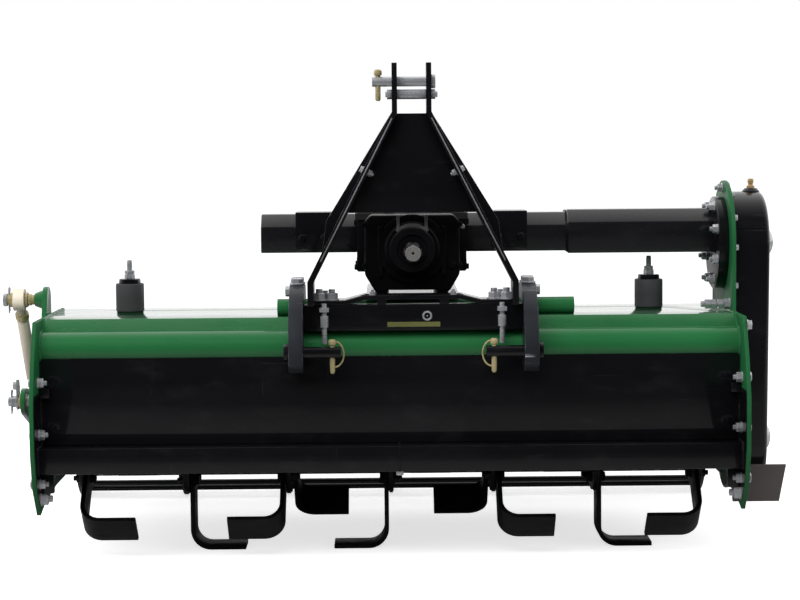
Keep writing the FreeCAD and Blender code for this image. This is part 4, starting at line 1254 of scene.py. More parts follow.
# ---------------------------------------------------------------- drive
@dataclass
class Gearbox:
    """Cast gearbox with side flanges, a front neck, the splined stub and the guard's bracket."""

    shop: Workshop
    flange: float = 0.016
    flange_reach: float = 0.078
    flange_cuts: Flat = (0.018, 0.010)  # at the foot and at the top
    flange_drop: float = 0.0005
    flange_ease: float = 0.003
    wall_back: float = 0.050  # front wall behind the neck's end
    front_run: float = 0.100
    lap: float = 0.0005
    edge: float = 0.005
    foot_inset: float = 0.020
    knee: float = 0.034
    corner: float = 0.012
    foot_gap: float = 0.047
    foot_slope: float = 0.004
    lifts: Flat = (0.008, 0.024)  # under the front and under the rear
    cover: tuple[Flat, ...] = ((0, 0), (0.068, 0), (0.068, 0.007), (0.064, 0.010), (0.054, 0.011),
                               (0.054, 0.018), (0.050, 0.022), (0, 0.022))
    neck: tuple[Flat, ...] = (  # radius, and how far back from the neck's end
        (0.045, 0.006), (0.043, 0.001), (0.040, 0.0), (0.030, 0.0), (0.028, 0.004),
        (0.022, 0.004), (0.0185, 0.006), (0.0, 0.006))
    face_set: float = 0.001
    rib_x: float = 0.062
    rib_half: float = 0.005
    rib_y: Flat = (-0.010, 0.004)
    rib_z: Flat = (0.030, 0.022)
    rib_ease: float = 0.003
    arch_radii: Flat = (0.0505, 0.0448)
    arch_turns: tuple[int, ...] = tuple(range(50, 131, 8))
    arch_set: float = 0.012
    arch_width: float = 0.022
    arch_ease: float = 0.0008
    upright_x: Flat = (0.0272, 0.003)  # offset, and half its thickness
    upright_z: Flat = (0.040, 0.068)
    upright_ease: float = 0.001
    splines: int = 6
    teeth: tuple[tuple[float, bool], ...] = (
        (-0.42, False), (-0.27, False), (-0.235, True), (-0.08, True), (0.08, True),
        (0.235, True), (0.27, False), (0.42, False))  # share of a pitch, and whether outer
    root: float = 0.0147
    root_gap: float = 0.0005
    stub_radius: float = 0.01745
    stub_start: float = 0.020
    turned: tuple[Flat, ...] = (  # how far back from the tip, and radius
        (0.038, 0.01745), (0.0365, 0.0155), (0.0315, 0.0155), (0.030, 0.01745),
        (0.0055, 0.01745), (0.0035, 0.0156))
    shank: Flat = (0.016, 0.001)
    tip_gap: float = 0.0004
    tip: tuple[Flat, ...] = (  # radius, and how far back from the end face
        (0, 0.0125), (0.0149, 0.0125), (0.0149, 0.0008), (0.0142, 0), (0.0108, 0),
        (0.0103, 0.0006), (0.0098, 0), (0.0036, 0), (0.0022, 0.0020), (0.0022, 0.0090),
        (0, 0.0095))
    cover_bolts: int = 6
    cover_ring: Point = (0.061, 0.006, 0.62)  # radius, how far ahead of the wall, and size
    wall_rises: Flat = (0.052, 0.132)
    wall_bolt: Point = (0.0002, 0.0065, 0.5)  # inset, how far ahead of the wall, and size
    lid_bolts: tuple[Flat, ...] = ((-0.045, 0.150), (0.050, 0.200))
    lid_size: float = 0.9
    plug: Point = (0.078, 0.0005, 0.052)
    plug_size: float = 0.7

    def walls(self) -> list[Shape]:
        """Front and rear part of the body, with a gap between their feet."""
        low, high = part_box("gearbox")
        mid = middle("pto_shaft").x
        left, right = low[0] + self.flange, high[0] - self.flange
        front, base, top = low[1] + self.wall_back, low[2], high[2]
        gap, cut, knee = self.foot_gap, self.corner, base + self.knee
        seam = front + self.front_run
        shapes = []
        for lift, start, stop in ((self.lifts[0], front, seam),
                                  (self.lifts[1], seam - self.lap, high[1])):
            rise, slope = base + lift, gap - self.foot_slope
            outline = [(left + self.foot_inset, base), (mid - gap, base), (mid - slope, rise),
                       (mid + slope, rise), (mid + gap, base), (right - self.foot_inset, base),
                       (right, knee), (right, top - cut), (right - cut, top), (left + cut, top),
                       (left, top - cut), (left, knee)]
            shapes.append(moved(prism(outline, stop - start), ahead(stop)))
        eased(shapes[0], self.edge, 3)
        return shapes

    def flanges(self) -> Shape:
        """The thick plate across the body that shows as a flange on each side."""
        low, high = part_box("gearbox")
        y = middle("end_flange").y
        reach, (foot_cut, top_cut) = self.flange_reach, self.flange_cuts
        knee, top = low[2] + self.knee, high[2]
        half = [(reach - foot_cut, knee), (reach, knee + foot_cut), (reach, top - top_cut),
                (reach - top_cut, top - self.flange_drop)]
        outline = [(y - off, z) for off, z in half[1::-1]] + [(y + off, z) for off, z in half]
        outline += [(y - off, z) for off, z in half[:1:-1]]
        return eased(moved(prism(outline, high[0] - low[0]), across(low[0])), self.flange_ease)

    def casting(self) -> Shape:
        """Body, side flanges, front cover, neck and ribs, with rounded edges."""
        low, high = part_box("gearbox")
        stub = middle("pto_shaft")
        front = low[1] + self.wall_back
        profile = [(0, 0), (self.neck[0][0], 0)]
        profile += [(radius, self.wall_back - back) for radius, back in self.neck]
        face = aimed((stub.x, front + self.face_set, stub.z), AHEAD)
        parts = self.walls() + [self.flanges(), moved(lathe(self.cover, 48), face),
                                moved(lathe(profile, 48), face)]
        for side in SIDES:
            x = stub.x + side * self.rib_x
            parts.append(eased(block(
                (x - self.rib_half, front + self.rib_y[0], low[2] + self.rib_z[0]),
                (x + self.rib_half, front + self.rib_y[1], high[2] - self.rib_z[1])),
                self.rib_ease))
        return merged(parts)

    def guard_bracket(self) -> Shape:
        """Two uprights and the arch of the stub's guard, on the neck."""
        stub = middle("pto_shaft")
        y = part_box("gearbox")[0][1] + self.arch_set
        outer, inner = self.arch_radii
        outline = [on_circle(outer, turn, (stub.x, stub.z)) for turn in self.arch_turns]
        outline += [on_circle(inner, turn, (stub.x, stub.z)) for turn in self.arch_turns[::-1]]
        back = y + self.arch_width
        parts = [eased(moved(prism(outline, self.arch_width), ahead(back)), self.arch_ease, 1)]
        (offset, half), (foot, top) = self.upright_x, self.upright_z
        for side in SIDES:
            x = stub.x + side * offset
            parts.append(eased(block((x - half, y - self.upright_ease, stub.z + foot),
                                     (x + half, back, stub.z + top)), self.upright_ease))
        return merged(parts)

    def stub_section(self, outer: float) -> list[Flat]:
        """Section of the splined stub at an outer radius."""
        root = min(self.root, outer - self.root_gap)
        return [on_circle(outer if raised else root, 360 * (i + share) / self.splines)
                for i in range(self.splines) for share, raised in self.teeth]

    def stub(self) -> tuple[Shape, Shape]:
        """The splined stub with its locking groove, and its turned end with a centre hole."""
        low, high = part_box("pto_shaft")
        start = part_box("gearbox")[0][1] - self.lap
        length, inside = start - low[1], start - high[1]
        rings = [(0.0, self.stub_radius), (self.stub_start, self.stub_radius)]
        rings += [(length - back, radius) for back, radius in self.turned]
        body = lofted([(self.stub_section(radius), height) for height, radius in rings])
        radius, lap = self.shank
        shank = lathe([(0, inside), (radius, inside), (radius, lap), (0, lap)])
        end = length - self.tip_gap
        face = lathe([(radius, end - back) for radius, back in self.tip], 40)
        mid = middle("pto_shaft")
        way = aimed((mid.x, start, mid.z), AHEAD)
        return moved(merged([body, shank]), way), moved(face, way)

    def bolts(self) -> None:
        """Bolts of the cover, the front wall and the lid, and the oil plug."""
        stub = middle("pto_shaft")
        low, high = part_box("gearbox")
        front = low[1] + self.wall_back
        radius, proud, size = self.cover_ring
        seats = bolt_circle(Vector((stub.x, front - proud, stub.z)), radius, self.cover_bolts,
                            FORWARD, size)
        inset, proud, size = self.wall_bolt
        inset += self.flange
        seats += [Seat((x, front - proud, low[2] + rise), FORWARD, size)
                  for x in (low[0] + inset, high[0] - inset) for rise in self.wall_rises]
        seats += [Seat((stub.x + x, low[1] + back, high[2]), UP, self.lid_size)
                  for x, back in self.lid_bolts]
        self.shop.heads("gearbox_bolts", seats, CASTING)
        x, back, rise = self.plug
        plug = Seat((stub.x + x, front + back, low[2] + rise), FORWARD, self.plug_size)
        self.shop.heads("oil_plug", [plug], CASTING)

    def build(self) -> None:
        """Builds the gearbox and its fasteners."""
        dressed("gearbox_casting", self.casting(), CASTING, replaces=["gearbox"])
        dressed("stub_guard_bracket", self.guard_bracket(), GREY_STEEL_AND_EDGE_HIGHLIGHT)
        splined, end = self.stub()
        dressed("splined_stub", splined, STUB_DARK, "pto", ["pto_shaft"])
        dressed("stub_end", end, STUB_STEEL, "pto")
        self.bolts()


@dataclass
class CrossShaft:
    """Box beams on both sides of the gearbox, their collars and the end flange."""

    shop: Workshop
    flange_bolts: int = 8
    flange_inset: float = 0.014
    flange_size: float = 0.9
    side_bolts: Flat = (0.062, 0.045)
    side_lift: float = 0.005
    side_size: float = 0.55
    collar_inset: float = 0.014
    collar_rise: float = 0.022
    collar_size: float = 0.7
    bead: float = 0.0028
    bead_inset: float = 0.0005
    large_cut: float = 0.0275  # where the bead leaves a beam's front upper corner
    small_cut: float = 0.026

    def round_beam(self, node: str, x: float, cut: float) -> list[Point]:
        """Closed path round a beam.

        Args:
            node: The beam's node.
            x: Where the path lies.
            cut: How far from the front upper corner it leaves the beam.

        Returns:
            Its points, the last on the first.
        """
        (_, front, foot), (_, back, top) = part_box(node)
        return [(x, front + cut, top), (x, back, top), (x, back, foot), (x, front, foot),
                (x, front, top - cut), (x, front + cut, top)]

    def build(self) -> None:
        """Redraws the beams and bolts them up."""
        self.shop.refit(
            Refit("cross_beam_left", DRIVE_BLACK, 0.0025),
            Refit("cross_beam_middle", DRIVE_BLACK, 0.0025),
            Refit("cross_beam_right", DRIVE_BLACK, 0.0025), Refit("beam_collar_left", BLACK),
            Refit("beam_collar_right", BLACK), Refit("end_flange", BLACK, 0.0015))
        low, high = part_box("end_flange")
        drive = middle("end_flange")
        radius = (high[2] - low[2]) / 2 - self.flange_inset
        ring = bolt_circle(Vector((low[0], drive.y, drive.z)), radius, self.flange_bolts, LEFT,
                           self.flange_size)
        self.shop.nuts("flange_nuts", ring, ZINC)
        run, rise = self.side_bolts
        level = drive.z + self.side_lift
        seats = [Seat((corner[0], drive.y + y, level + z), (way, 0, 0), self.side_size)
                 for corner, way in zip(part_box("gearbox"), SIDES)
                 for y in (-run, run) for z in (-rise, rise)]
        self.shop.heads("gearbox_side_bolts", seats, CASTING)
        heads = []
        for node in ("beam_collar_left", "beam_collar_right"):
            (left, front, foot), (right, _, _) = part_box(node)
            heads += [Seat((x, front, foot + self.collar_rise), FORWARD, self.collar_size)
                      for x in (left + self.collar_inset, right - self.collar_inset)]
        self.shop.heads("collar_bolts", heads, BLACK)
        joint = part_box("cross_beam_middle")[1][0] - self.bead_inset
        self.shop.welds.lay("cross_beam_beads", [
            self.round_beam("cross_beam_right", low[0] - self.bead_inset, self.large_cut),
            self.round_beam("cross_beam_middle", joint, self.small_cut)], self.bead, BLACK)


@dataclass
class ChainCase:
    """Rounded pressed case over the drive chain, bolted to the right side plate."""

    shop: Workshop
    crown: float = 0.013
    lip: float = 0.004
    step: float = 0.0012
    step_rise: float = 0.0008
    cap_radius: float = 0.032
    cap_rise: float = 0.0225
    cap_rim: float = 0.0012
    cap_sink: float = 0.001
    breather_x: float = 0.7375
    breather_lift: float = 0.005
    breather_hexagon: Flat = (0.007, 0.78)  # height, and scale against M12
    breather_stem: tuple[Flat, ...] = (
        (0, 0), (0.005, 0), (0.005, 0.009), (0.0045, 0.0095), (0.0062, 0.0105),
        (0.0062, 0.013), (0.0052, 0.0135), (0.0062, 0.0140), (0.0062, 0.0165),
        (0.0048, 0.0190), (0.0, 0.0195))
    boss: tuple[Flat, ...] = ((0, -0.010), (0.0185, -0.010), (0.0180, -0.001),
                              (0.0125, 0.0046), (0.0115, 0.0052), (0, 0.0052))
    bolt_ring: float = 0.1145
    bolt_size: float = 0.62
    bolt_rows: tuple[float, ...] = (0.2, 0.4, 0.6, 0.8)  # shares of the way down
    highest_nut: float = 0.36
    top_nut: Flat = (0.1105, 0.85)  # its rise above the drive shaft, and its size
    tie: Point = (0.058, -0.3415, 0.5010)  # its reach from the plate, and its place
    tie_rod: tuple[Flat, ...] = ((0, 0), (0.0052, 0), (0.0058, 0.0008), (0.0058, 0.0578),
                                 (0, 0.0578))
    tie_nut: float = 0.011
    tie_nuts: tuple[float, ...] = (0.008, 0.0195, 0.034)
    bearing_inset: float = 0.013
    bearing_size: float = 0.85
    seam_drop: float = 0.033
    seam_inset: float = 0.0008
    seam_stop: float = 0.8  # share of the crown's depth at which a seam ends
    seam_bead: float = 0.0016
    guard_bead: float = 0.003

    def shafts(self) -> tuple[Flat, Flat]:
        """Where the drive shaft and the rotor's shaft lie, across the machine."""
        drive, rotor = middle("end_flange"), middle("rotor_drum")
        return (drive.y, drive.z), (rotor.y, rotor.z)

    def shell(self) -> Shape:
        """The case: a deep tray with a rounded outer edge and a bolted rim."""
        low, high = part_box("chain_case")
        top, foot = self.shafts()
        radius = high[2] - top[1]
        skin, wall = radius - self.step, high[0] - low[0] - self.crown
        sections = [(radius, 0.0), (radius, self.lip), (skin, self.lip + self.step_rise),
                    (skin, wall)]
        for turn in range(18, 91, 18):
            level, rise = on_circle(self.crown, turn)
            sections.append((skin - self.crown + level, wall + rise))
        return moved(lofted([(stadium(top, foot, r), height) for r, height in sections]),
                     across(low[0]))

    def caps(self) -> Shape:
        """Two pressed silver caps over the shaft ends."""
        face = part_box("chain_case")[1][0]
        radius, rim = self.cap_radius, self.cap_rim
        profile = [(0.0, -self.cap_sink), (radius, -self.cap_sink), (radius, rim)]
        for i in range(1, 8):
            level, rise = on_circle(1.0, 90 * i / 8)
            profile.append((radius * level, rim + (self.cap_rise - rim) * rise))
        profile.append((0.0, self.cap_rise))
        return merged([moved(lathe(profile, 40), aimed((face, y, z), AXIS_X))
                       for y, z in self.shafts()])

    def breather(self) -> Shape:
        """Brass breather with a hexagon and a ribbed cap, about Z."""
        height, scale = self.breather_hexagon
        base = moved(self.shop.hardware.hex_body(0.0, height), Matrix.Scale(scale, 4))
        return merged([base, lathe(self.breather_stem, 20)])

    def tie_stud(self, spot: Vector) -> Shape:
        """Stud between the side plate and the headstock, with its three nuts."""
        nuts = [self.shop.hardware.hex_body(low, low + self.tie_nut) for low in self.tie_nuts]
        return moved(merged([lathe(self.tie_rod, 20)] + nuts), aimed(spot, AXIS_X))

    def bolts(self) -> None:
        """Bolts round the case, its tie stud and the bolts of the rotor's left bearing."""
        inner, outer = (corner[0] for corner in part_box("right_side_plate"))
        top, foot = self.shafts()
        spots = stadium(top, foot, self.bolt_ring, 6)[:7]
        reach, tie_y, tie_z = self.tie
        rise, size = self.top_nut
        nuts = [Seat((inner, top[0], top[1] + rise), LEFT, size),
                Seat((inner, tie_y, tie_z), LEFT)]
        dressed("case_tie_stud", self.tie_stud(Vector((inner - reach, tie_y, tie_z))), ZINC)
        for share in self.bolt_rows:
            y, z = (a + (b - a) * share for a, b in zip(top, foot))
            for side in SIDES:
                spots.append((y + side * self.bolt_ring, z))
                if z < self.highest_nut:
                    nuts.append(Seat((inner, *spots[-1]), LEFT, self.bolt_size))
        heads = [Seat((outer, *spot), RIGHT, self.bolt_size) for spot in spots]
        self.shop.heads("case_bolt_heads", heads, ZINC)
        self.shop.nuts("case_nuts", nuts, ZINC)
        low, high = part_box("left_bearing")
        radius = (high[2] - low[2]) / 2 - self.bearing_inset
        self.shop.heads("bearing_bolts", bolt_circle(
            Vector((low[0], *foot)), radius, 4, LEFT, self.bearing_size), ZINC)

    def seams(self) -> None:
        """Seams on the case's flanks and the bead of its guard."""
        low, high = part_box("chain_case")
        y, z = self.shafts()[0]
        reach = math.sqrt((high[2] - z) ** 2 - self.seam_drop ** 2) - self.seam_inset
        ends = (low[0] + self.lip, high[0] - self.crown * self.seam_stop)
        self.shop.welds.lay("case_seams", [
            [(x, y + side * reach, z + self.seam_drop) for x in ends] for side in SIDES],
            self.seam_bead, BLACK)
        (_, front, foot), (_, _, top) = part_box("chain_case_guard")
        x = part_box("right_side_plate")[1][0] + self.seam_inset
        bead = [(x, front, foot + self.guard_bead), (x, front, top - self.guard_bead)]
        self.shop.welds.lay("guard_bead", [bead], self.guard_bead, GUARD_GREY)

    def build(self) -> None:
        """Builds the case and its fittings."""
        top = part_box("chain_case")[1][2]
        seat = (self.breather_x, self.shafts()[0][0])
        lifted = Matrix.Translation((*seat, top + self.breather_lift))
        dressed("chain_case_shell", self.shell(), BLACK, replaces=["chain_case"])
        dressed("shaft_caps", self.caps(), ZINC, replaces=["chain_case_caps"])
        dressed("case_breather", moved(self.breather(), lifted), BRASS)
        dressed("breather_boss", moved(lathe(self.boss, 28), Matrix.Translation((*seat, top))),
                BLACK)
        self.shop.refit(Refit("chain_case_guard", GUARD_GREY, 0.001),
                        Refit("left_bearing", CASTING, 0.003))
        self.bolts()
        self.seams()


# ---------------------------------------------------------------- headstock
@dataclass
class Headstock:
    """Clamps, mount plate, straps, sheet and the three hitch pins with their clips."""

    shop: Workshop
    ring_radius: float = 0.0175
    ring_set: float = 0.0042
    ring_drop: float = 0.0035
    ring_room: float = 0.0120
    ring_turn: float = 105.0
    wire: float = 0.0017
    shank_radii: Point = (0.0030, 0.0050, 0.0052)  # at its foot, above its point, halfway
    shank_point: float = 0.003
    shank: tuple[Flat, ...] = (  # radius, and how far above the pin's top
        (0.0050, 0.001), (0.0072, 0.002), (0.0078, 0.005), (0.0072, 0.010), (0.0050, 0.0125),
        (0.0, 0.0130))
    lower_clip: Flat = (0.0125, 0.028)  # radius of the pin, and the shank's drop below it
    top_clip: Flat = (0.0105, 0.026)
    clip_inset: Flat = (0.0165, 0.0150)
    top_clip_inset: float = 0.011
    mount_plate: float = 0.008
    shoulder: Flat = (0.0395, 0.880)
    knee: Flat = (0.1822, 0.600)
    wing: tuple[Flat, ...] = ((0.0385, 0.8825), (0.165, 0.677), (0.1725, 0.622),
                              (0.0370, 0.8790))
    wing_ease: float = 0.0006
    line_inset: float = 0.0055
    line_ends: Flat = (0.004, 0.006)
    line_radius: float = 0.0015
    line_proud: float = 0.0004
    sheet_bolt: Flat = (-0.4905, 0.7745)
    sheet_bolt_size: float = 0.62
    strap: float = 0.0105
    plate_nuts: tuple[Point, ...] = (  # offset, y and size
        (0.1560, -0.4580, 1.15), (0.1800, -0.4630, 1.20), (0.1690, -0.4400, 0.95))
    member_nut: Point = (0.0775, 0.012, 0.55)  # offset, how far behind the front, and size
    member_nut_rise: float = 0.010
    sheet_head: Point = (0.101, 0.1195, 0.658)
    sheet_head_size: float = 0.45
    clamp_bolts: Flat = (-0.4300, -0.3980)
    clamp_sink: float = 0.0020
    clamp_side_bolt: Flat = (-0.4300, 0.5400)
    clamp_sizes: Point = (1.25, 1.0, 0.4)  # on top, on the face, and at the pin
    eyelet: Flat = (0.027, 0.4945)
    eyelet_ring: Point = (0.0077, 0.0021, 0.0012)  # radius, wire and height of its middle
    eyelet_plug: Flat = (0.0016, 0.0022)
    label: tuple[Flat, Flat, Flat] = ((-0.0495, 0.0520), (-0.0004, 0.0006), (0.4735, 0.4830))

    def plates(self) -> None:
        """Redraws the plates and the pins."""
        self.shop.refit(
            Refit("headstock_left", BLACK, 0.0010), Refit("headstock_right", BLACK, 0.0010),
            Refit("headstock_sheet", BLACK, 0.0006), Refit("gearbox_mount", BLACK, 0.0012),
            Refit("cross_member", BLACK, 0.0040), Refit("hitch_clamp_left", CLAMP_BLACK, 0.0016),
            Refit("hitch_clamp_right", CLAMP_BLACK, 0.0016), Refit("slide_pipe", GREEN, 0.0),
            Refit("top_link_pin", ZINC), Refit("top_link_spacer", ZINC, 0.0006),
            Refit("lower_pin_left", BLACK, 0.0010), Refit("lower_pin_right", BLACK, 0.0010),
            Refit("lock_bolts", ZINC, 0.0006))

    def clip(self, spot: Point, sizes: Flat, way: int = 0) -> Shape:
        """A linch pin through a hitch pin, with its wire ring folded over the pin's end.

        Args:
            spot: Middle of the hitch pin where the clip goes through.
            sizes: Radius of the hitch pin, and how far the shank hangs below it.
            way: Side on which the ring shows, 1 for +X, or 0 for none.

        Returns:
            Its mesh.
        """
        radius, drop = sizes
        low = -radius - drop
        foot, above, halfway = self.shank_radii
        profile = [(0, low), (foot, low), (above, low + self.shank_point),
                   (halfway, low + 0.5 * drop)]
        profile += [(reach, radius + rise) for reach, rise in self.shank]
        parts = [lathe(profile, 20)]
        if way:
            points = []
            for i in range(31):
                level, rise = on_circle(1.0, self.ring_turn * (1 - i / 15))
                points.append(Vector((way * (self.ring_set + self.ring_radius * level), 0.0,
                                      (radius + self.ring_room) * rise - self.ring_drop)))
            parts.append(swept(points, self.wire))
        return moved(merged(parts), Matrix.Translation(spot))

    def clips(self) -> None:
        """Sets the clips on the pins."""
        left, right, top = (middle(node) for node in
                            ("lower_pin_left", "lower_pin_right", "top_link_pin"))
        left_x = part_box("lower_pin_left")[1][0] - self.clip_inset[0]
        right_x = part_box("lower_pin_right")[0][0] + self.clip_inset[1]
        top_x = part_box("top_link_pin")[0][0] + self.top_clip_inset
        dressed("lower_pin_clips", [self.clip((left_x, left.y, left.z), self.lower_clip, 1),
                                    self.clip((right_x, right.y, right.z), self.lower_clip, -1)],
                YELLOW_ZINC)
        dressed("top_pin_clip", self.clip((top_x, top.y, top.z), self.top_clip), YELLOW_ZINC)

    def slope(self) -> tuple[Vector, Vector, Vector, Vector]:
        """Foot and top of the right strap's inclined part, its direction and outward normal."""
        foot, top = (Vector((x, 0, z)) for x, z in (self.knee, self.shoulder))
        rise = (top - foot).normalized()
        return foot, top, rise, Vector((rise.z, 0, -rise.x))

    def wings(self) -> list[Shape]:
        """Gusset plates outside the straps, in the plane of the sheet."""
        head = middle("pto_shaft").x
        (_, front, _), (_, back, _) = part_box("headstock_sheet")
        return [eased(moved(prism([(head + side * x, z) for x, z in self.wing], back - front),
                            ahead(back)), self.wing_ease, 1) for side in SIDES]

    def edge_highlight_lines(self) -> list[Shape]:
        """Light grey strips along the straps' front edges: a painted highlight."""
        head = middle("pto_shaft").x
        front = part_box("headstock_left")[0][1] + self.line_proud
        foot, top, rise, out = self.slope()
        foot = foot - out * self.line_inset + rise * self.line_ends[0]
        top = top - out * self.line_inset - rise * self.line_ends[1]
        return [swept([Vector((head + side * p.x, front, p.z))
                       for p in (foot, foot.lerp(top, 0.5), top)], self.line_radius)
                for side in SIDES]

    def strap_bolts(self) -> tuple[list[Seat], list[Seat]]:
        """Heads and nuts of the straps, the mount plate and the cross member."""
        head = middle("pto_shaft").x
        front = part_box("cross_member")[0][1]
        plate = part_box("gearbox_mount")[0][2] + self.mount_plate
        foot, _, rise, out = self.slope()
        y, height = self.sheet_bolt
        outer = foot + rise * ((height - foot.z) / rise.z)
        inner = outer - out * self.strap
        heads, nuts = [], []
        for side in SIDES:
            for spot, way, seats in ((outer, 1, heads), (inner, -1, nuts)):
                seats.append(Seat((head + side * spot.x, y, spot.z),
                                  (way * side * out.x, 0, way * out.z), self.sheet_bolt_size))
            nuts += [Seat((head + side * offset, back, plate), UP, size)
                     for offset, back, size in self.plate_nuts]
            offset, set_back, size = self.member_nut
            nuts.append(Seat((head + side * offset, front + set_back,
                              plate + self.member_nut_rise), UP, size))
        offset, set_back, height = self.sheet_head
        heads.append(Seat((head + offset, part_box("gearbox")[0][1] + set_back, height),
                          FORWARD, self.sheet_head_size))
        return heads, nuts

    def clamp_heads(self) -> list[Seat]:
        """Heads on top of the hitch clamps and on their outer faces."""
        heads = []
        pin = middle("lower_pin_left")
        on_top, on_face, at_pin = self.clamp_sizes
        for node, side in zip(("hitch_clamp_left", "hitch_clamp_right"), SIDES):
            low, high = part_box(node)
            heads += [Seat(((low[0] + high[0]) / 2, y, high[2] - self.clamp_sink), UP, on_top)
                      for y in self.clamp_bolts]
            face, outwards = (low if side < 0 else high)[0], (side, 0, 0)
            heads.append(Seat((face, *self.clamp_side_bolt), outwards, on_face))
            heads.append(Seat((face, pin.y, pin.z), outwards, at_pin))
        return heads

    def eyelet_shape(self) -> Shape:
        """Ring with a plug in its middle, about Z."""
        (radius, wire, height), (plug, top) = self.eyelet_ring, self.eyelet_plug
        turns = [on_circle(radius, turn) for turn in range(0, 361, 12)]
        ring = swept([Vector((x, y, height)) for x, y in turns], wire)
        return merged([ring, lathe([(0, 0), (plug, 0), (plug, top), (0, top)], 12)])

    def bolts(self) -> None:
        """Bolts of the headstock, and the eyelet and blank plate on the cross member."""
        head = middle("pto_shaft").x
        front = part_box("cross_member")[0][1]
        heads, nuts = self.strap_bolts()
        offset, height = self.eyelet
        dressed("member_eyelet", moved(self.eyelet_shape(),
                                       aimed((head + offset, front, height), AHEAD)), ZINC)
        self.shop.heads("headstock_bolt_heads", heads + self.clamp_heads(), ZINC)
        self.shop.nuts("headstock_nuts", nuts, ZINC)
        (x0, x1), (y0, y1), (z0, z1) = self.label
        dressed("blank_plate", block((head + x0, front + y0, z0), (head + x1, front + y1, z1)),
                LABEL)

    def build(self) -> None:
        """Builds the headstock."""
        self.plates()
        self.clips()
        self.bolts()
        dressed("strap_gussets", self.wings(), BLACK)
        # Light grey strips on the straps' front edges paint their highlight.
        dressed("strap_edge_lines", self.edge_highlight_lines(), GREY_STEEL_AND_EDGE_HIGHLIGHT)


# ---------------------------------------------------------------- rotor and roller
@dataclass
class Rotor:
    """Drum, discs and bolted blades."""

    shop: Workshop
    disc: float = 0.010
    blade: float = 0.009
    bolt_ring: float = 0.077
    bolt_spread: float = 0.017
    bolt_size: float = 0.95
    last_station: int = 6
    crossed: tuple[tuple[int, int], ...] = ((1, 1), (3, -1), (5, 1))
    slanted: tuple[tuple[int, int], ...] = ((2, -1), (4, 1))

    def layout(self) -> list[tuple[int, int, int]]:
        """Station, angle and side of every blade; angle 0 points backwards and 90 up."""
        blades = [(0, 225, 1), (0, 45, 1), (self.last_station, 225, -1),
                  (self.last_station, 45, -1)]
        for stations, turns in ((self.crossed, (270, 90, 0, 180)),
                                (self.slanted, (225, 45, 315, 135))):
            for station, side in stations:
                blades += [(station, turn, way)
                           for turn, way in zip(turns, (side, side, -side, -side))]
        return blades

    def bolts(self) -> None:
        """Two bolts through each blade and its disc."""
        low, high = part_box("rotor_discs")
        axis = middle("rotor_drum")
        pitch = (high[0] - low[0] - self.disc) / self.last_station
        heads, nuts = [], []
        for station, angle, side in self.layout():
            x = low[0] + self.disc / 2 + station * pitch
            y, z = on_circle(1.0, angle)
            out, along = Vector((0, y, z)), Vector((0, -z, y))
            for spread in (-self.bolt_spread, self.bolt_spread):
                spot = Vector((x, axis.y, axis.z)) + out * self.bolt_ring + along * spread
                face = AXIS_X * side * (self.disc / 2 + self.blade)
                heads.append(Seat(tuple(spot + face), (side, 0, 0), self.bolt_size))
                face = AXIS_X * side * self.disc / 2
                nuts.append(Seat(tuple(spot - face), (-side, 0, 0), self.bolt_size))
        self.shop.heads("blade_bolt_heads", heads, TINES, "rotor")
        self.shop.nuts("blade_nuts", nuts, TINES, "rotor")

    def build(self) -> None:
        """Redraws the rotor and bolts its blades."""
        self.shop.refit(Refit("rotor_drum", CASTING, 0.0, "rotor"),
                        Refit("rotor_discs", TINES, body="rotor"),
                        Refit("rotor_blades", TINES, 0.0012, "rotor"))
        self.bolts()


@dataclass
class Roller:
    """Cage roller, its arms, hubs and cross tube."""

    shop: Workshop

    def build(self) -> None:
        """Redraws the roller and its frame."""
        self.shop.refit(
            Refit("roller_arm_left", GREEN, 0.0012, "roller_frame"),
            Refit("roller_arm_right", GREEN, 0.0012, "roller_frame"),
            Refit("roller_cross_tube", GREEN, 0.0025, "roller_frame"),
            Refit("roller_cage", BLACK, 0.0, "roller"),
            Refit("roller_shaft", ZINC, body="roller"),
            Refit("strut_foot_pin", ZINC, 0.0006, "roller_frame"),
            Refit("arm_hub_left", ZINC, 0.0012), Refit("arm_hub_right", ZINC, 0.0012))


@dataclass
class LevellingBoard:
    """The hinged board behind the comb."""

    shop: Workshop

    def build(self) -> None:
        """Redraws the board."""
        self.shop.refit(Refit("levelling_board", GREEN, 0.0010, "board"))


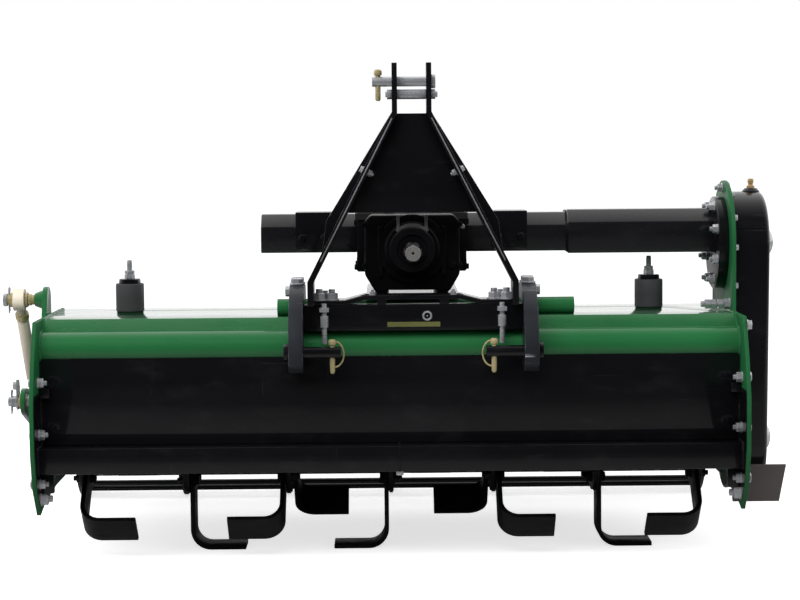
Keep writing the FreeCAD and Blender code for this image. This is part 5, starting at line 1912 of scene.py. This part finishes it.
# ---------------------------------------------------------------- depth screw
@dataclass
class DepthScrew:
    """The screw strut on the left that sets the roller's height."""

    shop: Workshop
    wire: float = 0.0016
    straight: Flat = (0.016, 0.006)  # how far a clip's leg reaches below and above the pin
    eye_turn: Flat = (180, 290)  # where a clip's eye starts, and how far it turns
    eye: Flat = (0.0052, 0.009)  # radius of a clip's eye, and how far above the pin
    leg: tuple[Flat, ...] = ((0.6, 0.006), (0.0, 0.0135), (-0.7, 0.0110), (-1.6, 0.0040),
                             (-2.1, 0.0075))  # height in pin radii, and distance from the pin
    washer: Flat = (0.0150, 0.0050)
    spacer: Flat = (0.0118, 0.0060)
    tip: Flat = (0.0132, 0.0075)
    foot_washer: Flat = (0.0155, 0.0050)
    washer_cut: float = 0.0006
    upper_sets: Point = (0.0012, 0.0072, -0.0062)  # from the eye's right face, and its left
    tip_set: float = -0.0006
    foot_set: float = -0.0056
    collar: Point = (0.0136, 0.0120, 0.0008)
    collar_reach: float = 0.036
    down: Point = (0, 0.5995, -0.8004)
    keeper: tuple[Flat, ...] = ((-0.013, -0.016), (0.013, -0.016), (0.013, 0.030),
                                (0.006, 0.046), (-0.006, 0.046), (-0.013, 0.030))
    keeper_thick: float = 0.004
    keeper_gap: float = 0.010
    keeper_ease: float = 0.0008
    keeper_bolts: tuple[Flat, ...] = ((0.033, 0.85), (0.0, 1.15))  # rise and size
    pin_clip: Flat = (0.0100, 0.0105)  # inset from the pin's end, and the pin's radius
    foot_clip: Flat = (0.006, 0.010)

    def clip(self, node: str, sizes: Flat) -> Shape:
        """A spring clip through a pin's left end: a straight leg, an eye and a curved leg.

        Args:
            node: The pin's node.
            sizes: Inset from the pin's end, and the pin's radius.

        Returns:
            Its mesh.
        """
        inset, radius = sizes
        eye, lift = self.eye
        below, above = self.straight
        points = [Vector((0, 0, height)) for height in (-radius - below, 0, radius + above)]
        for i in range(9):
            level, rise = on_circle(eye, self.eye_turn[0] - self.eye_turn[1] * i / 8)
            points.append(Vector((0, eye + level, radius + lift + rise)))
        points += [Vector((0, out, radius * rise)) for rise, out in self.leg]
        return moved(swept(points, self.wire), Matrix.Translation(self.beside(node, inset)))

    def beside(self, node: str, inset: float) -> Point:
        """Point on a pin's axis, inset from its left end."""
        pin = middle(node)
        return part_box(node)[0][0] + inset, pin.y, pin.z

    def washers(self, *spots: tuple[Point, Flat]) -> Shape:
        """Thick washers across X, from the left face of each and its radius and thickness."""
        return merged([moved(chamfered(radius, thick, self.washer_cut, 24), aimed(spot, AXIS_X))
                       for spot, (radius, thick) in spots])

    def upper_end(self) -> None:
        """Washers, tip, clip and collar at the strut's upper pin."""
        pin = middle("strut_pin")
        (left, _, _), (right, _, _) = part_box("strut_eye")
        inner, outer, far = self.upper_sets
        dressed("strut_pin_washers", self.washers(
            ((right + inner, pin.y, pin.z), self.washer),
            ((right + outer, pin.y, pin.z), self.spacer),
            ((left + far, pin.y, pin.z), self.washer)), YELLOW_ZINC)
        dressed("strut_pin_tip",
                self.washers((self.beside("strut_pin", self.tip_set), self.tip)), ZINC)
        dressed("strut_pin_clip", self.clip("strut_pin", self.pin_clip), ZINC)
        radius, thick, cut = self.collar
        down = Vector(self.down)
        dressed("strut_collar", moved(chamfered(radius, thick, cut, 28),
                                      aimed(pin + down * self.collar_reach, down)),
                YELLOW_ZINC, "strut_upper")

    def foot_end(self) -> None:
        """Washer, keeper and clip at the strut's foot pin."""
        foot = middle("strut_foot_pin")
        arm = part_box("roller_arm_left")[0][0]
        face = arm - self.keeper_gap
        dressed("foot_pin_washers",
                self.washers(((arm + self.foot_set, foot.y, foot.z), self.foot_washer)),
                YELLOW_ZINC, "roller_frame")
        outline = [(foot.y + y, foot.z + z) for y, z in self.keeper]
        dressed("foot_pin_keeper",
                eased(moved(prism(outline, self.keeper_thick), across(face)),
                      self.keeper_ease), ZINC,
                "roller_frame")
        self.shop.heads("keeper_bolts", [Seat((face, foot.y, foot.z + rise), LEFT, size)
                                         for rise, size in self.keeper_bolts],
                        ZINC, "roller_frame")
        dressed("foot_pin_clip", self.clip("strut_foot_pin", self.foot_clip), ZINC,
                "roller_frame")

    def build(self) -> None:
        """Redraws the strut and its lug, and pins it."""
        self.shop.refit(
            Refit("strut_eye", CREAM, 0.0012, "strut_upper"),
            Refit("strut_sleeve", CREAM, 0.0010, "strut_upper"),
            Refit("strut_rod", YELLOW_ZINC, 0.0006, "strut_lower"),
            Refit("strut_lug", GREEN, 0.0012), Refit("strut_pin", YELLOW_ZINC, 0.0006))
        self.upper_end()
        self.foot_end()


# ---------------------------------------------------------------- studio
@dataclass(frozen=True)
class View:
    """Camera that sees the machine from the front.

    Args:
        spot: Where it stands.
        dip: Angle below level in degrees.
        roll: Roll in degrees.
        lens: Focal length over the sensor's width.
        turn: Turn to the left in degrees.
        sensor: Width of the sensor in millimetres.
        reach: How far it sees in metres.
    """

    spot: Point = (0.0055, -4.440, 0.840)
    dip: float = 4.545
    roll: float = -0.49
    lens: float = 93.4
    turn: float = -0.29
    sensor: float = 36.0
    reach: float = 60.0

    def place(self) -> None:
        """Makes the scene's camera."""
        data = bpy.data.cameras.new("front_camera")
        data.lens, data.sensor_width, data.clip_end = self.lens, self.sensor, self.reach
        camera = bpy.data.objects.new("front_camera", data)
        turn, dip, roll = (Matrix.Rotation(math.radians(angle), 4, axis) for angle, axis in
                           ((self.turn, "Z"), (90 - self.dip, "X"), (self.roll, "Z")))
        camera.matrix_world = Matrix.Translation(self.spot) @ turn @ dip @ roll
        bpy.context.scene.collection.objects.link(camera)
        bpy.context.scene.camera = camera


@dataclass(frozen=True)
class Lamp:
    """One soft area lamp, which reflections don't show.

    Args:
        name: Its name.
        spot: Where it hangs.
        aim: Where it points.
        size: Width and height in metres.
        power: Power in watts.
    """

    name: str
    spot: Point
    aim: Point
    size: Flat
    power: float

    def hang(self) -> None:
        """Makes the lamp."""
        data = bpy.data.lights.new(self.name, "AREA")
        data.shape = "RECTANGLE"
        data.size, data.size_y = self.size
        data.energy = self.power
        lamp = bpy.data.objects.new(self.name, data)
        turn = (Vector(self.aim) - Vector(self.spot)).to_track_quat("-Z", "Y")
        lamp.matrix_world = Matrix.Translation(self.spot) @ turn.to_matrix().to_4x4()
        lamp.visible_glossy = False
        bpy.context.scene.collection.objects.link(lamp)


@dataclass
class Studio:
    """White floor and background, soft lamps and the camera."""

    view: View = field(default_factory=View)
    lamps: tuple[Lamp, ...] = (
        Lamp("front_top_softbox", (-1.2, -3.4, 3.6), (0.0, -0.3, 0.3), (4.0, 2.6), 210.0),
        Lamp("right_softbox", (3.6, -2.2, 2.2), (0.2, -0.2, 0.4), (2.0, 2.4), 60.0),
        Lamp("left_softbox", (-3.6, -1.6, 2.0), (-0.2, -0.2, 0.4), (1.6, 2.4), 36.0),
    )
    fill: float = 0.50
    sky_turn: Flat = (-0.50, 0.50)
    sky_glow: Flat = (0.03, 1.05)
    floor_white: float = 0.9
    floor_glow: float = 0.70
    floor_run: Flat = (-1.8, 0.2)
    floor_dim: Flat = (0.04, 0.50)
    floor_half: float = 30.0

    def world(self) -> None:
        """White for the camera, softer and from behind for the machine's reflections."""
        world = bpy.data.worlds.new("studio_world")
        world.use_nodes = True
        graph = Graph(world.node_tree)
        sky = graph.ramp_back("Generated", self.sky_turn, self.sky_glow)
        glossy, fill, seen = (
            graph.node("ShaderNodeBackground",
                       {"Color": (1, 1, 1, 1), "Strength": strength}).outputs["Background"]
            for strength in (sky, self.fill, 1.0))
        unseen = graph.by_ray("Is Glossy Ray", fill, glossy)
        graph.node("ShaderNodeOutputWorld",
                   {"Surface": graph.by_ray("Is Camera Ray", unseen, seen)})
        bpy.context.scene.world = world

    def floor_paint(self) -> bpy.types.Material:
        """White for the camera with a soft shadow, and darker in front for other rays."""
        material = bpy.data.materials.new("studio_white")
        material.use_nodes = True
        graph = Graph(material.node_tree)
        white = (*(self.floor_white,) * 3, 1.0)
        plain = graph.node("ShaderNodeBsdfDiffuse", {"Color": white})
        glow = graph.node("ShaderNodeEmission", {"Strength": self.floor_glow})
        seen = graph.node("ShaderNodeAddShader",
                          {0: plain.outputs["BSDF"], 1: glow.outputs["Emission"]})
        dim = graph.ramp_back("Object", self.floor_run, self.floor_dim)
        unseen = graph.node("ShaderNodeBsdfDiffuse", {"Color": dim})
        graph.node("ShaderNodeOutputMaterial", {"Surface": graph.by_ray(
            "Is Camera Ray", unseen.outputs["BSDF"], seen.outputs["Shader"])})
        return material

    def floor(self) -> None:
        """White floor that keeps a soft shadow."""
        mesh = bpy.data.meshes.new("studio_floor")
        half = self.floor_half
        mesh.from_pydata([(-half, -half, 0), (half, -half, 0), (half, half, 0), (-half, half, 0)],
                         [], [(0, 1, 2, 3)])
        mesh.materials.append(self.floor_paint())
        floor = bpy.data.objects.new("studio_floor", mesh)
        bpy.context.scene.collection.objects.link(floor)

    def build(self) -> None:
        """Sets up the studio."""
        self.world()
        self.floor()
        for lamp in self.lamps:
            lamp.hang()
        self.view.place()
        bpy.context.scene.view_settings.view_transform = "Standard"


# ---------------------------------------------------------------- main
ASSEMBLIES = (Hood, Buffers, Gearbox, CrossShaft, ChainCase, Headstock, Rotor, Roller,
              DepthScrew, LevellingBoard)


def main() -> None:
    """Dresses the frame and sets the studio."""
    logging.basicConfig(level=logging.INFO, format="%(name)s: %(message)s")
    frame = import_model()
    shop = Workshop(frame)
    for assembly in ASSEMBLIES:
        LOG.info("building %s", assembly.__name__)
        assembly(shop).build()
    shop.hardware.clear()
    Studio().build()


if __name__ == "__main__":
    main()
